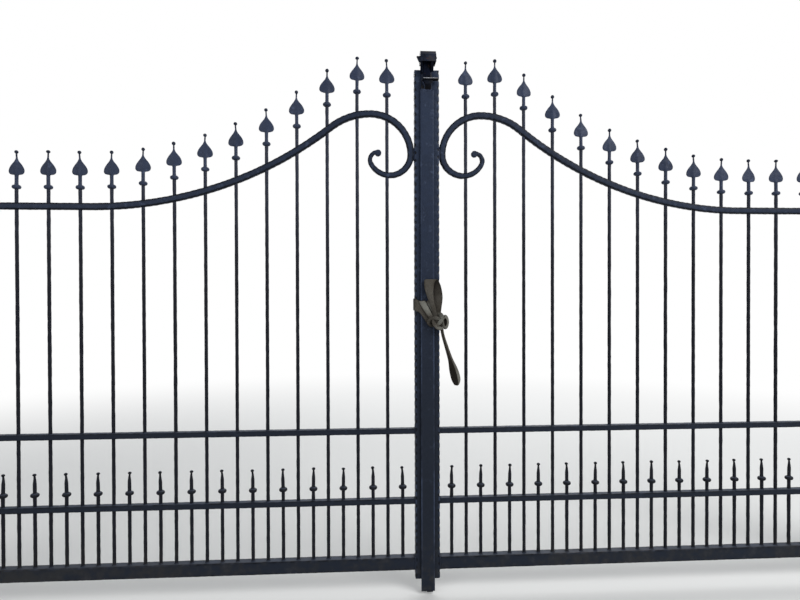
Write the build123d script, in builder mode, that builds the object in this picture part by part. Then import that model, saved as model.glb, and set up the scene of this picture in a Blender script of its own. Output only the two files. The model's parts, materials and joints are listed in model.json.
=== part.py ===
"""A double-leaf wrought iron driveway gate between two steel posts.

The origin is on the underside of the left post's base plate, at the post's centre.
+X runs along the gate to the right post, +Y is the house side, and +Z is up.
Distances called "reach" are measured from the middle of the gate outward, to either side.
All lengths are in millimetres.
"""

import os
from math import cos, radians, sin, sqrt

from build123d import *

os.makedirs("parts", exist_ok=True)

# Infill bars
bar_diameter = 14.0
bar_pitch = 120.0
bars_per_leaf = 15
first_bar_reach = 160.0
punch_clearance = 0.6

# Stiles
meeting_gap = 20.0
stile_width = 40.0
stile_depth = 40.0
stile_wall = 3.0
stile_foot_z = 58.0
meeting_stile_rise = 173.0
hinge_stile_rise = 46.5
last_dog_bar_to_stile = 50.0

# Rails
bottom_rail_z = 94.0
bottom_rail_height = 50.0
bottom_rail_depth = 40.0
bottom_rail_wall = 3.0
dog_rail_z = 359.0
mid_rail_z = 643.0
rail_height = 22.0
rail_depth = 30.0

# Swept top rail with its scroll
top_rail_height = 27.5
top_rail_depth = 20.0
top_rail_level_z = 1554.0
sweep_radius = 1508.0
shoulder_radius = 257.0
sweep_angle = 38.3
crown_radius = 161.0
eye_radius = 85.0
eye_angle = 154.0
curl_radius = 31.5
curl_angle = 118.0
eye_end_height = 20.0
curl_end_height = 13.5
snub_radius = 13.0
snub_sink = 4.0
scroll_weld_gap = 0.2

# Spade finials
spade_width = 61.0
spade_foot_width = 43.0
spade_belly_rise = 15.0
spade_shoulder_width = 49.0
spade_shoulder_rise = 33.0
spade_waist_width = 24.0
spade_waist_rise = 49.0
spade_height = 66.0
spade_thickness = 9.0
spade_edge_thickness = 4.0
spade_lens_margin = 1.0
spade_neck_diameter = 6.4
spade_ball_diameter = 15.0
spade_tip_rise = 95.5
spade_shank = 39.0
collar_diameter = 33.0
collar_height = 16.0
level_tip_rise = 217.0
slope_tip_rise = 36.0
crown_bar_lift = 12.0

# Dog bar finials
dog_shaft = 37.0
dog_body_height = 36.0
dog_taper_height = 20.0
dog_neck_height = 11.0
dog_neck_diameter = 8.0
dog_ball_diameter = 14.5
dog_ball_height = 12.0

# Hinges
hinge_stile_to_pin = 25.0
pin_to_post = 40.0
pin_diameter = 18.0
pin_clearance = 0.3
pin_head_diameter = 26.0
pin_head_height = 6.0
barrel_diameter = 34.0
barrel_height = 60.0
barrel_tab_width = 20.0
lug_thickness = 12.0
lug_shank_width = 20.0
lug_gap = 0.5
lower_hinge_z = 300.0
upper_hinge_drop = 224.0

# Posts
post_width = 120.0
post_wall = 5.0
post_top_z = 1850.0
base_plate_width = 220.0
base_plate_thickness = 12.0
base_plate_corner = 6.0
anchor_spacing = 170.0
anchor_hole_diameter = 14.0
cap_overhang = 6.0
cap_rim = 8.0
cap_rise = 26.0
cap_tip_width = 8.0

# Stop bar over the meeting gap
stop_flange_width = 55.0
stop_thickness = 6.0
stop_web_depth = 40.0
stop_stand_off = 5.0
stop_foot_z = 12.0
stop_top_drop = 81.0
foot_width = 24.0
foot_depth = 12.0
foot_z = 5.0
foot_top_z = 52.0

# Top catch
catch_plate_width = 44.0
catch_plate_shift = -2.0
hood_clearance = 24.0
hood_width = 63.0
hood_shift = 3.5
hood_depth = 58.0
hood_height = 46.0
hood_brow_depth = 17.0
hood_brow_drop = 19.0
hood_wall = 3.0
ear_reach = 15.0
ear_foot_reach = 5.0
ear_drop = 22.0
ear_depth = 12.0
ear_y = -40.0
shelf_drop = 47.0
shelf_width = 60.0
shelf_shift = 11.0
shelf_depth = 30.0
shelf_thickness = 3.5
gusset_width = 42.0
gusset_foot_width = 24.0
gusset_shift = 3.0
gusset_depth = 22.0
gusset_face_height = 18.0
gusset_height = 37.0

# Webbing
webbing_z = 1160.0
knot_drop = 65.0
webbing_width = 44.0
webbing_thickness = 4.0
webbing_slack = 0.5
knot_reach = 46.0
knot_width = 78.0
knot_height = 66.0
knot_depth = 28.0
knot_corner = 24.0
knot_edge = 9.5
loop_reach = 22.0
loop_width = 74.0
loop_height = 142.0
loop_depth = 16.0
loop_corner = 30.0
tail_top_width = 14.0
tail_foot_width = 34.0
tail_length = 222.0
tail_lean = 66.0
tail_depth = 10.0

# Places worked out from the sizes above
stile_outer_reach = meeting_gap / 2 + stile_width
stile_middle_reach = meeting_gap / 2 + stile_width / 2
first_dog_reach = first_bar_reach - bar_pitch / 2
last_dog_reach = first_dog_reach + bar_pitch * bars_per_leaf
hinge_stile_reach = last_dog_reach + last_dog_bar_to_stile
pin_reach = hinge_stile_reach + stile_width + hinge_stile_to_pin
post_face_reach = pin_reach + pin_to_post
post_reach = post_face_reach + post_width / 2
gate_middle = post_reach
hinge_stile_top_z = top_rail_level_z + top_rail_height / 2 + hinge_stile_rise
hinge_heights = (lower_hinge_z, top_rail_level_z - upper_hinge_drop)
tall_bar_reaches = [first_bar_reach + bar_pitch * i for i in range(bars_per_leaf)]
dog_bar_reaches = [first_dog_reach + bar_pitch * i for i in range(bars_per_leaf + 1)]
bar_foot_z = bottom_rail_z + bottom_rail_height
dog_collar_z = dog_rail_z + rail_height + dog_shaft
half_top = top_rail_height / 2
crown_start_reach = stile_outer_reach + half_top + scroll_weld_gap
crown_top_reach = crown_start_reach + crown_radius
sweep_rise = 1 - cos(radians(sweep_angle))
sweep_run = sin(radians(sweep_angle))
crown_top_z = top_rail_level_z + (sweep_radius + shoulder_radius) * sweep_rise
eye_z = crown_top_z - crown_radius
shoulder_end_reach = crown_top_reach + shoulder_radius * sweep_run
level_start_reach = shoulder_end_reach + sweep_radius * sweep_run
meeting_stile_top_z = crown_top_z + meeting_stile_rise
stop_top_z = meeting_stile_top_z - stop_top_drop
hood_foot_z = meeting_stile_top_z + hood_clearance
shelf_z = meeting_stile_top_z - shelf_drop
knot_z = webbing_z - knot_drop
stop_back_y = -stile_depth / 2 - stop_stand_off
stop_front_y = stop_back_y - stop_thickness
hood_back_y = stop_back_y + hood_depth / 2
hood_front_y = hood_back_y - hood_depth
stop_web_x = gate_middle - meeting_gap / 2 + stop_thickness / 2


def top_rail_at(reach):
    """Height of the top rail's centre line at a reach, and its slope there."""
    if reach <= crown_top_reach:
        run = crown_top_reach - reach
        drop = crown_radius - sqrt(crown_radius**2 - run**2)
        return crown_top_z - drop, run / (crown_radius - drop)
    if reach <= shoulder_end_reach:
        run = reach - crown_top_reach
        drop = shoulder_radius - sqrt(shoulder_radius**2 - run**2)
        return crown_top_z - drop, run / (shoulder_radius - drop)
    if reach <= level_start_reach:
        run = level_start_reach - reach
        rise = sweep_radius - sqrt(sweep_radius**2 - run**2)
        return top_rail_level_z + rise, run / (sweep_radius - rise)
    return top_rail_level_z, 0.0


def tip_z(reach):
    """Height of the ball at the end of a tall bar's finial; the second bar stands highest."""
    height, slope = top_rail_at(reach)
    lift = crown_bar_lift if reach == tall_bar_reaches[1] else 0.0
    return height + level_tip_rise + slope_tip_rise * slope + lift


def spade_foot_z(reach):
    """Height of the underside of a tall bar's collar, where bar and finial meet."""
    return tip_z(reach) - spade_tip_rise - spade_shank - collar_height


def polar(centre, radius, angle):
    """Point at an angle in degrees on a circle."""
    return (centre[0] + radius * cos(radians(angle)), centre[1] + radius * sin(radians(angle)))


def knop_lines():
    """Half the outline of the round knop where a bar and its finial meet."""
    rim_radius = collar_height / 2
    rim_middle = collar_diameter / 2 - rim_radius
    Line((0, 0), (rim_middle, 0))
    ThreePointArc((rim_middle, 0), (collar_diameter / 2, rim_radius), (rim_middle, collar_height))
    Line((rim_middle, collar_height), (bar_diameter / 2, collar_height))


def hood_lines(foot_z):
    """Outline of the catch's hood, seen from the side, down to a height."""
    Polyline(
        (hood_back_y, foot_z),
        (hood_back_y, hood_foot_z + hood_height),
        (hood_front_y + hood_brow_depth, hood_foot_z + hood_height),
        (hood_front_y, hood_foot_z + hood_height - hood_brow_drop),
        (hood_front_y, foot_z),
        close=True,
    )


def write(part, name):
    """Labels a finished piece and writes its file."""
    part.label = name
    export_step(part, f"parts/{name}.step")


# The two posts with their plates and caps
for side, name in ((-1, "left"), (1, "right")):
    post_x = gate_middle + side * post_reach

    with BuildPart() as base_plate:
        with BuildSketch() as plate_outline:
            with Locations((post_x, 0)):
                RectangleRounded(base_plate_width, base_plate_width, base_plate_corner)
                with GridLocations(anchor_spacing, anchor_spacing, 2, 2):
                    Circle(anchor_hole_diameter / 2, mode=Mode.SUBTRACT)
        extrude(amount=base_plate_thickness)
    write(base_plate.part, f"{name}_base_plate")

    with BuildPart() as post:
        with BuildSketch(Plane.XY.offset(base_plate_thickness)):
            with Locations((post_x, 0)):
                Rectangle(post_width, post_width)
                Rectangle(post_width - 2 * post_wall, post_width - 2 * post_wall, mode=Mode.SUBTRACT)
        extrude(amount=post_top_z - base_plate_thickness)
    write(post.part, f"{name}_post")

    with BuildPart() as post_cap:
        rim_width = post_width + 2 * cap_overhang
        with BuildSketch(Plane.XY.offset(post_top_z)):
            with Locations((post_x, 0)):
                Rectangle(rim_width, rim_width)
        extrude(amount=cap_rim)
        with BuildSketch(Plane.XY.offset(post_top_z + cap_rim)):
            with Locations((post_x, 0)):
                Rectangle(rim_width, rim_width)
        with BuildSketch(Plane.XY.offset(post_top_z + cap_rim + cap_rise)):
            with Locations((post_x, 0)):
                Rectangle(cap_tip_width, cap_tip_width)
        loft()
        with BuildSketch(Plane.XY.offset(post_top_z)):
            with Locations((post_x, 0)):
                Rectangle(post_width - 2 * post_wall, post_width - 2 * post_wall)
        with BuildSketch(Plane.XY.offset(post_top_z + cap_rise)):
            with Locations((post_x, 0)):
                Rectangle(cap_tip_width, cap_tip_width)
        loft(mode=Mode.SUBTRACT)
    write(post_cap.part, f"{name}_post_cap")

    pin_x = gate_middle + side * pin_reach

    # Each hinge has a lug above and a lug below the leaf's barrel
    with BuildPart() as hinge_brackets:
        for hinge_z in hinge_heights:
            for lug_z in (hinge_z - lug_gap - lug_thickness, hinge_z + barrel_height + lug_gap):
                with BuildSketch(Plane.XY.offset(lug_z)):
                    with Locations((pin_x, 0)):
                        Circle(barrel_diameter / 2)
                    with Locations((pin_x + side * pin_to_post / 2, 0)):
                        Rectangle(pin_to_post, lug_shank_width)
                    with Locations((pin_x, 0)):
                        Circle(pin_diameter / 2 + pin_clearance, mode=Mode.SUBTRACT)
                extrude(amount=lug_thickness)
    write(hinge_brackets.part, f"{name}_hinge_brackets")

    with BuildPart() as hinge_pins:
        for hinge_z in hinge_heights:
            pin_foot_z = hinge_z - lug_gap - lug_thickness - pin_head_height
            pin_head_z = hinge_z + barrel_height + lug_gap + lug_thickness
            with BuildSketch(Plane.XY.offset(pin_foot_z)):
                with Locations((pin_x, 0)):
                    Circle(pin_diameter / 2)
            extrude(amount=pin_head_z - pin_foot_z)
            with BuildSketch(Plane.XY.offset(pin_head_z)):
                with Locations((pin_x, 0)):
                    Circle(pin_head_diameter / 2)
            extrude(amount=pin_head_height)
    write(hinge_pins.part, f"{name}_hinge_pins")

# The two leaves
for side, name in ((-1, "left"), (1, "right")):
    leaf_plane = Plane(origin=(gate_middle, 0, 0), x_dir=(side, 0, 0), z_dir=(0, -side, 0))

    with BuildPart() as meeting_stile:
        with BuildSketch(Plane.XY.offset(stile_foot_z)):
            with Locations((gate_middle + side * stile_middle_reach, 0)):
                Rectangle(stile_width, stile_depth)
        extrude(amount=meeting_stile_top_z - stile_foot_z)
        with BuildSketch(Plane.XY.offset(stile_foot_z)):
            with Locations((gate_middle + side * stile_middle_reach, 0)):
                Rectangle(stile_width - 2 * stile_wall, stile_depth - 2 * stile_wall)
        extrude(amount=meeting_stile_top_z - stile_foot_z - stile_wall, mode=Mode.SUBTRACT)
    write(meeting_stile.part, f"{name}_meeting_stile")

    with BuildPart() as hinge_stile:
        hinge_stile_x = gate_middle + side * (hinge_stile_reach + stile_width / 2)
        with BuildSketch(Plane.XY.offset(stile_foot_z)):
            with Locations((hinge_stile_x, 0)):
                Rectangle(stile_width, stile_depth)
        extrude(amount=hinge_stile_top_z - stile_foot_z)
        with BuildSketch(Plane.XY.offset(stile_foot_z)):
            with Locations((hinge_stile_x, 0)):
                Rectangle(stile_width - 2 * stile_wall, stile_depth - 2 * stile_wall)
        extrude(amount=hinge_stile_top_z - stile_foot_z - stile_wall, mode=Mode.SUBTRACT)
    write(hinge_stile.part, f"{name}_hinge_stile")

    with BuildPart() as hinge_barrels:
        pin_x = gate_middle + side * pin_reach
        for hinge_z in hinge_heights:
            with BuildSketch(Plane.XY.offset(hinge_z)):
                with Locations((pin_x, 0)):
                    Circle(barrel_diameter / 2)
                with Locations((pin_x - side * hinge_stile_to_pin / 2, 0)):
                    Rectangle(hinge_stile_to_pin, barrel_tab_width)
                with Locations((pin_x, 0)):
                    Circle(pin_diameter / 2 + pin_clearance, mode=Mode.SUBTRACT)
            extrude(amount=barrel_height)
    write(hinge_barrels.part, f"{name}_hinge_barrels")

    rail_length = hinge_stile_reach - stile_outer_reach
    rail_middle_x = gate_middle + side * (stile_outer_reach + rail_length / 2)

    with BuildPart() as bottom_rail:
        with BuildSketch(Plane.YZ.offset(rail_middle_x)):
            with Locations((0, bottom_rail_z + bottom_rail_height / 2)):
                Rectangle(bottom_rail_depth, bottom_rail_height)
                Rectangle(
                    bottom_rail_depth - 2 * bottom_rail_wall,
                    bottom_rail_height - 2 * bottom_rail_wall,
                    mode=Mode.SUBTRACT,
                )
        extrude(amount=rail_length / 2, both=True)
    write(bottom_rail.part, f"{name}_bottom_rail")

    with BuildPart() as dog_rail:
        with BuildSketch(Plane.XY.offset(dog_rail_z)):
            with Locations((rail_middle_x, 0)):
                Rectangle(rail_length, rail_depth)
            with Locations([(gate_middle + side * reach, 0) for reach in tall_bar_reaches + dog_bar_reaches]):
                Circle(bar_diameter / 2 + punch_clearance, mode=Mode.SUBTRACT)
        extrude(amount=rail_height)
    write(dog_rail.part, f"{name}_dog_rail")

    with BuildPart() as mid_rail:
        with BuildSketch(Plane.XY.offset(mid_rail_z)):
            with Locations((rail_middle_x, 0)):
                Rectangle(rail_length, rail_depth)
            with Locations([(gate_middle + side * reach, 0) for reach in tall_bar_reaches]):
                Circle(bar_diameter / 2 + punch_clearance, mode=Mode.SUBTRACT)
        extrude(amount=rail_height)
    write(mid_rail.part, f"{name}_mid_rail")

    # The top rail is level, sweeps up, turns over the crown and closes in a tapering scroll with a snub end
    sweep_centre = (level_start_reach, top_rail_level_z + sweep_radius)
    shoulder_centre = (crown_top_reach, crown_top_z - shoulder_radius)
    crown_centre = (crown_top_reach, eye_z)
    eye_centre = (crown_start_reach + eye_radius, eye_z)
    eye_end_angle = 180 + eye_angle
    curl_centre = polar(eye_centre, eye_radius - curl_radius, eye_end_angle)
    curl_end_angle = eye_end_angle + curl_angle
    half_end = curl_end_height / 2
    half_eye_end = eye_end_height / 2
    with BuildPart() as scroll_rail:
        with BuildSketch(leaf_plane):
            with BuildLine():
                for edge in (1, -1):
                    Line(
                        (hinge_stile_reach, top_rail_level_z + edge * half_top),
                        (level_start_reach, top_rail_level_z + edge * half_top),
                    )
                    CenterArc(sweep_centre, sweep_radius - edge * half_top, 270, -sweep_angle)
                    CenterArc(
                        shoulder_centre, shoulder_radius + edge * half_top, 90 - sweep_angle, sweep_angle
                    )
                    CenterArc(crown_centre, crown_radius + edge * half_top, 90, 90)
                    ThreePointArc(
                        polar(eye_centre, eye_radius + edge * half_top, 180),
                        polar(
                            eye_centre,
                            eye_radius + edge * (half_top + half_eye_end) / 2,
                            180 + eye_angle / 2,
                        ),
                        polar(eye_centre, eye_radius + edge * half_eye_end, eye_end_angle),
                    )
                    ThreePointArc(
                        polar(curl_centre, curl_radius + edge * half_eye_end, eye_end_angle),
                        polar(
                            curl_centre,
                            curl_radius + edge * (half_eye_end + half_end) / 2,
                            eye_end_angle + curl_angle / 2,
                        ),
                        polar(curl_centre, curl_radius + edge * half_end, curl_end_angle),
                    )
                Line(
                    (hinge_stile_reach, top_rail_level_z + half_top),
                    (hinge_stile_reach, top_rail_level_z - half_top),
                )
                Line(
                    polar(curl_centre, curl_radius + half_end, curl_end_angle),
                    polar(curl_centre, curl_radius - half_end, curl_end_angle),
                )
            make_face()
            with Locations(polar(curl_centre, curl_radius - snub_sink, curl_end_angle)):
                Circle(snub_radius)
        extrude(amount=top_rail_depth / 2, both=True)
        punch_foot_z = top_rail_level_z - top_rail_height
        with BuildSketch(Plane.XY.offset(punch_foot_z)):
            with Locations([(gate_middle + side * reach, 0) for reach in tall_bar_reaches]):
                Circle(bar_diameter / 2 + punch_clearance)
        extrude(amount=crown_top_z + top_rail_height - punch_foot_z, mode=Mode.SUBTRACT)
    write(scroll_rail.part, f"{name}_scroll_rail")

    with BuildPart() as tall_bars:
        for reach in tall_bar_reaches:
            with BuildSketch(Plane.XY.offset(bar_foot_z)):
                with Locations((gate_middle + side * reach, 0)):
                    Circle(bar_diameter / 2)
            extrude(amount=spade_foot_z(reach) - bar_foot_z)
    write(tall_bars.part, f"{name}_tall_bars")

    with BuildPart() as dog_bars:
        for reach in dog_bar_reaches:
            with BuildSketch(Plane.XY.offset(bar_foot_z)):
                with Locations((gate_middle + side * reach, 0)):
                    Circle(bar_diameter / 2)
            extrude(amount=dog_collar_z - bar_foot_z)
    write(dog_bars.part, f"{name}_dog_bars")

    # One finial is a knop, a shank, a spade that thins to its edges, a drawn-out neck and a ball
    with BuildPart() as spade:
        leaf_z = collar_height + spade_shank
        ball_z = leaf_z + spade_tip_rise - spade_ball_diameter / 2
        with BuildSketch(Plane.XZ):
            with BuildLine():
                Line((0, leaf_z), (spade_foot_width / 2, leaf_z))
                ThreePointArc(
                    (spade_foot_width / 2, leaf_z),
                    (spade_width / 2, leaf_z + spade_belly_rise),
                    (spade_shoulder_width / 2, leaf_z + spade_shoulder_rise),
                )
                ThreePointArc(
                    (spade_shoulder_width / 2, leaf_z + spade_shoulder_rise),
                    (spade_waist_width / 2, leaf_z + spade_waist_rise),
                    (spade_neck_diameter / 2, leaf_z + spade_height),
                )
                Line((spade_neck_diameter / 2, leaf_z + spade_height), (0, leaf_z + spade_height))
                Line((0, leaf_z + spade_height), (0, leaf_z))
            make_face()
            mirror(about=Plane.YZ)
        extrude(amount=spade_thickness / 2, both=True)
        lens_half = spade_width / 2 + spade_lens_margin
        with BuildSketch(Plane.XY.offset(leaf_z)):
            with BuildLine():
                for face in (1, -1):
                    ThreePointArc(
                        (-lens_half, face * spade_edge_thickness / 2),
                        (0, face * spade_thickness / 2),
                        (lens_half, face * spade_edge_thickness / 2),
                    )
                    Line(
                        (face * lens_half, -spade_edge_thickness / 2),
                        (face * lens_half, spade_edge_thickness / 2),
                    )
            make_face()
        extrude(amount=spade_height, mode=Mode.INTERSECT)
        with BuildSketch(Plane.XZ):
            with BuildLine():
                knop_lines()
                Polyline(
                    (bar_diameter / 2, collar_height),
                    (bar_diameter / 2, leaf_z),
                    (spade_neck_diameter / 2, leaf_z + spade_height),
                    (spade_neck_diameter / 2, ball_z),
                    (0, ball_z),
                    (0, 0),
                )
            make_face()
        revolve(axis=Axis.Z)
        with Locations((0, 0, ball_z)):
            Sphere(spade_ball_diameter / 2)

    with BuildPart() as spade_finials:
        for reach in tall_bar_reaches:
            with Locations((gate_middle + side * reach, 0, spade_foot_z(reach))):
                add(spade.part)
    write(spade_finials.part, f"{name}_spade_finials")

    # A dog bar ends in a knop, a tapering body, a neck and a flattened ball
    with BuildPart() as dog_finial:
        body_end_z = collar_height + dog_body_height
        taper_end_z = body_end_z + dog_taper_height
        ball_foot_z = taper_end_z + dog_neck_height
        with BuildSketch(Plane.XZ):
            with BuildLine():
                knop_lines()
                Polyline(
                    (bar_diameter / 2, collar_height),
                    (bar_diameter / 2, body_end_z),
                    (dog_neck_diameter / 2, taper_end_z),
                    (dog_neck_diameter / 2, ball_foot_z),
                )
                ThreePointArc(
                    (dog_neck_diameter / 2, ball_foot_z),
                    (dog_ball_diameter / 2, ball_foot_z + dog_ball_height / 2),
                    (dog_neck_diameter / 2, ball_foot_z + dog_ball_height),
                )
                Polyline(
                    (dog_neck_diameter / 2, ball_foot_z + dog_ball_height),
                    (0, ball_foot_z + dog_ball_height),
                    (0, 0),
                )
            make_face()
        revolve(axis=Axis.Z)

    with BuildPart() as dog_finials:
        for reach in dog_bar_reaches:
            with Locations((gate_middle + side * reach, 0, dog_collar_z)):
                add(dog_finial.part)
    write(dog_finials.part, f"{name}_dog_finials")

# The stop bar is a T section welded to the left leaf, with its flange over the meeting gap
with BuildPart() as stop_bar:
    with BuildSketch(Plane.XY.offset(stop_foot_z)):
        with Locations((gate_middle, (stop_back_y + stop_front_y) / 2)):
            Rectangle(stop_flange_width, stop_thickness)
        with Locations((stop_web_x, stop_back_y + stop_web_depth / 2)):
            Rectangle(stop_thickness, stop_web_depth)
    extrude(amount=stop_top_z - stop_foot_z)
write(stop_bar.part, "stop_bar")

with BuildPart() as stop_foot:
    with BuildSketch(Plane.XY.offset(foot_z)):
        with Locations((stop_web_x + (stop_thickness + foot_width) / 2, stop_back_y + foot_depth / 2)):
            Rectangle(foot_width, foot_depth)
    extrude(amount=foot_top_z - foot_z)
write(stop_foot.part, "stop_foot")

# The catch's plate carries the hood from inside
with BuildPart() as catch_plate:
    with BuildSketch(Plane.XY.offset(stop_top_z)):
        with Locations((gate_middle + catch_plate_shift, (stop_back_y + stop_front_y) / 2)):
            Rectangle(catch_plate_width, stop_thickness)
    extrude(amount=hood_foot_z + hood_height - hood_wall - stop_top_z)
write(catch_plate.part, "catch_plate")

# The hood is a folded sheet, open below, with a sloping brow and an ear on its left cheek
with BuildPart() as catch_hood:
    hood_plane = Plane.YZ.offset(gate_middle + hood_shift)
    with BuildSketch(hood_plane):
        with BuildLine():
            hood_lines(hood_foot_z)
        make_face()
    extrude(amount=hood_width / 2, both=True)
    with BuildSketch(hood_plane):
        with BuildLine():
            hood_lines(hood_foot_z - hood_wall)
        make_face()
        offset(amount=-hood_wall, kind=Kind.INTERSECTION, mode=Mode.REPLACE)
    extrude(amount=hood_width / 2 - hood_wall, both=True, mode=Mode.SUBTRACT)
    cheek_x = gate_middle + hood_shift - hood_width / 2
    with BuildSketch(Plane.XZ.offset(-ear_y)):
        with BuildLine():
            Polyline(
                (cheek_x, hood_foot_z + ear_drop),
                (cheek_x - ear_reach, hood_foot_z + ear_drop),
                (cheek_x - ear_foot_reach, hood_foot_z),
                (cheek_x, hood_foot_z),
                close=True,
            )
        make_face()
    extrude(amount=ear_depth / 2, both=True)
write(catch_hood.part, "catch_hood")

# The shelf's gusset narrows down its upright face, and its foot slopes back to the stop bar
with BuildPart() as catch_shelf:
    gusset_x = gate_middle + gusset_shift
    with BuildSketch(Plane.YZ.offset(gusset_x)):
        with BuildLine():
            Polyline(
                (stop_front_y, shelf_z),
                (stop_front_y - gusset_depth, shelf_z),
                (stop_front_y - gusset_depth, shelf_z - gusset_face_height),
                (stop_front_y, shelf_z - gusset_height),
                close=True,
            )
        make_face()
    extrude(amount=gusset_width / 2, both=True)
    with BuildSketch(Plane.XZ.offset(-stop_front_y)):
        with BuildLine():
            Polyline(
                (gusset_x - gusset_width / 2, shelf_z),
                (gusset_x + gusset_width / 2, shelf_z),
                (gusset_x + gusset_foot_width / 2, shelf_z - gusset_face_height),
                (gusset_x + gusset_foot_width / 2, shelf_z - gusset_height),
                (gusset_x - gusset_foot_width / 2, shelf_z - gusset_height),
                (gusset_x - gusset_foot_width / 2, shelf_z - gusset_face_height),
                close=True,
            )
        make_face()
    extrude(amount=gusset_depth, mode=Mode.INTERSECT)
    with BuildSketch(Plane.XY.offset(shelf_z)):
        with Locations((gate_middle + shelf_shift, stop_front_y - shelf_depth / 2)):
            Rectangle(shelf_width, shelf_depth)
    extrude(amount=shelf_thickness)
write(catch_shelf.part, "catch_shelf")

# The webbing passes round the left stile and over the stop bar's flange
wrap_front_y = stop_front_y - webbing_slack
wrap_left_x = gate_middle - stile_outer_reach - webbing_slack
wrap_right_x = gate_middle + stop_flange_width / 2
wrap_back_y = stile_depth / 2 + webbing_slack
knot_x = gate_middle + knot_reach
loop_foot_z = knot_z + knot_height / 2 + webbing_slack
tail_top_z = knot_z - knot_height / 2 - webbing_slack

with BuildPart() as webbing_wrap:
    with BuildSketch(Plane.XY.offset(webbing_z - webbing_width / 2)):
        with BuildLine():
            wrap_inside = Polyline(
                (wrap_right_x, wrap_front_y),
                (wrap_left_x, wrap_front_y),
                (wrap_left_x, wrap_back_y),
                (gate_middle - meeting_gap / 2, wrap_back_y),
            )
            offset(wrap_inside, webbing_thickness, side=Side.LEFT)
        make_face()
    extrude(amount=webbing_width)
write(webbing_wrap.part, "webbing_wrap")

with BuildPart() as webbing_knot:
    with BuildSketch(Plane.XZ.offset(-wrap_front_y)):
        with Locations((knot_x, knot_z)):
            RectangleRounded(knot_width, knot_height, knot_corner)
    extrude(amount=knot_depth)
    fillet(webbing_knot.faces().sort_by(Axis.Y)[0].edges(), knot_edge)
write(webbing_knot.part, "webbing_knot")

with BuildPart() as webbing_loop:
    with BuildSketch(Plane.XZ.offset(-wrap_front_y + webbing_thickness + webbing_slack)):
        with Locations((gate_middle + loop_reach, loop_foot_z + loop_height / 2)):
            RectangleRounded(loop_width, loop_height, loop_corner)
    extrude(amount=loop_depth)
write(webbing_loop.part, "webbing_loop")

with BuildPart() as webbing_tail:
    with BuildSketch(Plane.XZ.offset(-wrap_front_y + webbing_thickness)):
        with BuildLine():
            Polyline(
                (knot_x - tail_top_width / 2, tail_top_z),
                (knot_x + tail_top_width / 2, tail_top_z),
                (knot_x + tail_lean + tail_foot_width / 2, tail_top_z - tail_length),
                (knot_x + tail_lean - tail_foot_width / 2, tail_top_z - tail_length),
                close=True,
            )
        make_face()
    extrude(amount=tail_depth)
write(webbing_tail.part, "webbing_tail")
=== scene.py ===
# %% [markdown]
# # A wrought iron driveway gate
#
# The gate is two leaves of round hammered bars between two steel posts. Its construction comes
# as a fixed model in metres. This lesson gives it its looks: forged surfaces, paint, weld
# beads, and the strip of webbing that is knotted round the middle.

import json
import math

import bmesh
import bpy
import numpy as np
from mathutils import Matrix, Vector

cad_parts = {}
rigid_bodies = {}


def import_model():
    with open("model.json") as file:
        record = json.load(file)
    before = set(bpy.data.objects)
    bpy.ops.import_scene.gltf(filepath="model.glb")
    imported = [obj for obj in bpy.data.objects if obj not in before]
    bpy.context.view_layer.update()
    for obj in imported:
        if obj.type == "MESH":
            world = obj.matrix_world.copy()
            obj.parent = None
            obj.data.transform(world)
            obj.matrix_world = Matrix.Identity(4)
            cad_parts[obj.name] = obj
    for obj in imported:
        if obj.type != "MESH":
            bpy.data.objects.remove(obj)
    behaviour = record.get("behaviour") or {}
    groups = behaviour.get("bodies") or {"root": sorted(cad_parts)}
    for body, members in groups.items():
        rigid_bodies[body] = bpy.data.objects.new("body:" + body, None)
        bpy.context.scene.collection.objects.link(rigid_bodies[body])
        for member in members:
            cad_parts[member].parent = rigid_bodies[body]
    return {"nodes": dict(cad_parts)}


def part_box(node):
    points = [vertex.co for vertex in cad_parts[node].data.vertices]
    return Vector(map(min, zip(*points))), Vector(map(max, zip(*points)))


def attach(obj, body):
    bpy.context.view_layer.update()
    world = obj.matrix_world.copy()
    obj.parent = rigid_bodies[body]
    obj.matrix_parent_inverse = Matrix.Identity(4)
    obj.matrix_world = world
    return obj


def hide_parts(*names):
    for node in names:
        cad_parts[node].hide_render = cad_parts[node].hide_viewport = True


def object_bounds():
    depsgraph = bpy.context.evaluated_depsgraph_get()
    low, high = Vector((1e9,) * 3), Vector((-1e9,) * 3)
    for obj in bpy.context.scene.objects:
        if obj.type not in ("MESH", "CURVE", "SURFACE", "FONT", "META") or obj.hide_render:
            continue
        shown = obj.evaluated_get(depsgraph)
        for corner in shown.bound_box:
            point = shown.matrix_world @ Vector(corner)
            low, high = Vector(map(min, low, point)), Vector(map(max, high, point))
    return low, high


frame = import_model()
cad_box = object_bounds()
scene = bpy.context.scene
mm = 0.001

# %% [markdown]
# ## Angles and places
#
# Knops, balls, welds and arcs need places on a circle, and tapers need places between a start
# and an end. A few lines of Python give both, and every piece below uses them.

# %% Helpers for angles and places
FULL_TURN = 2 * math.pi
QUARTER_TURN = math.pi / 2


def turn_angles(count):
    """Evenly spaced angles of one full turn, in radians."""
    return [FULL_TURN * i / count for i in range(count)]


def around(centre, radius, angle):
    """A place on a circle, in the two directions of its plane."""
    return centre[0] + radius * math.cos(angle), centre[1] + radius * math.sin(angle)


def between(start, end, share):
    return start + (end - start) * share


print("angles of a square:", [round(math.degrees(a)) for a in turn_angles(4)])

# %% [markdown]
# ## From mesh editing to a piece
#
# Mesh editing ends in a mesh, a mesh needs an object in the scene, and what modifiers make of
# it is kept as a plain mesh, so that nothing is left to be worked out later.


# %% Helpers for meshes and objects
def mesh_from(work, name):
    """Ends the editing of a bmesh and returns it as a mesh."""
    mesh = bpy.data.meshes.new(name)
    work.to_mesh(mesh)
    work.free()
    return mesh


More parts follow.
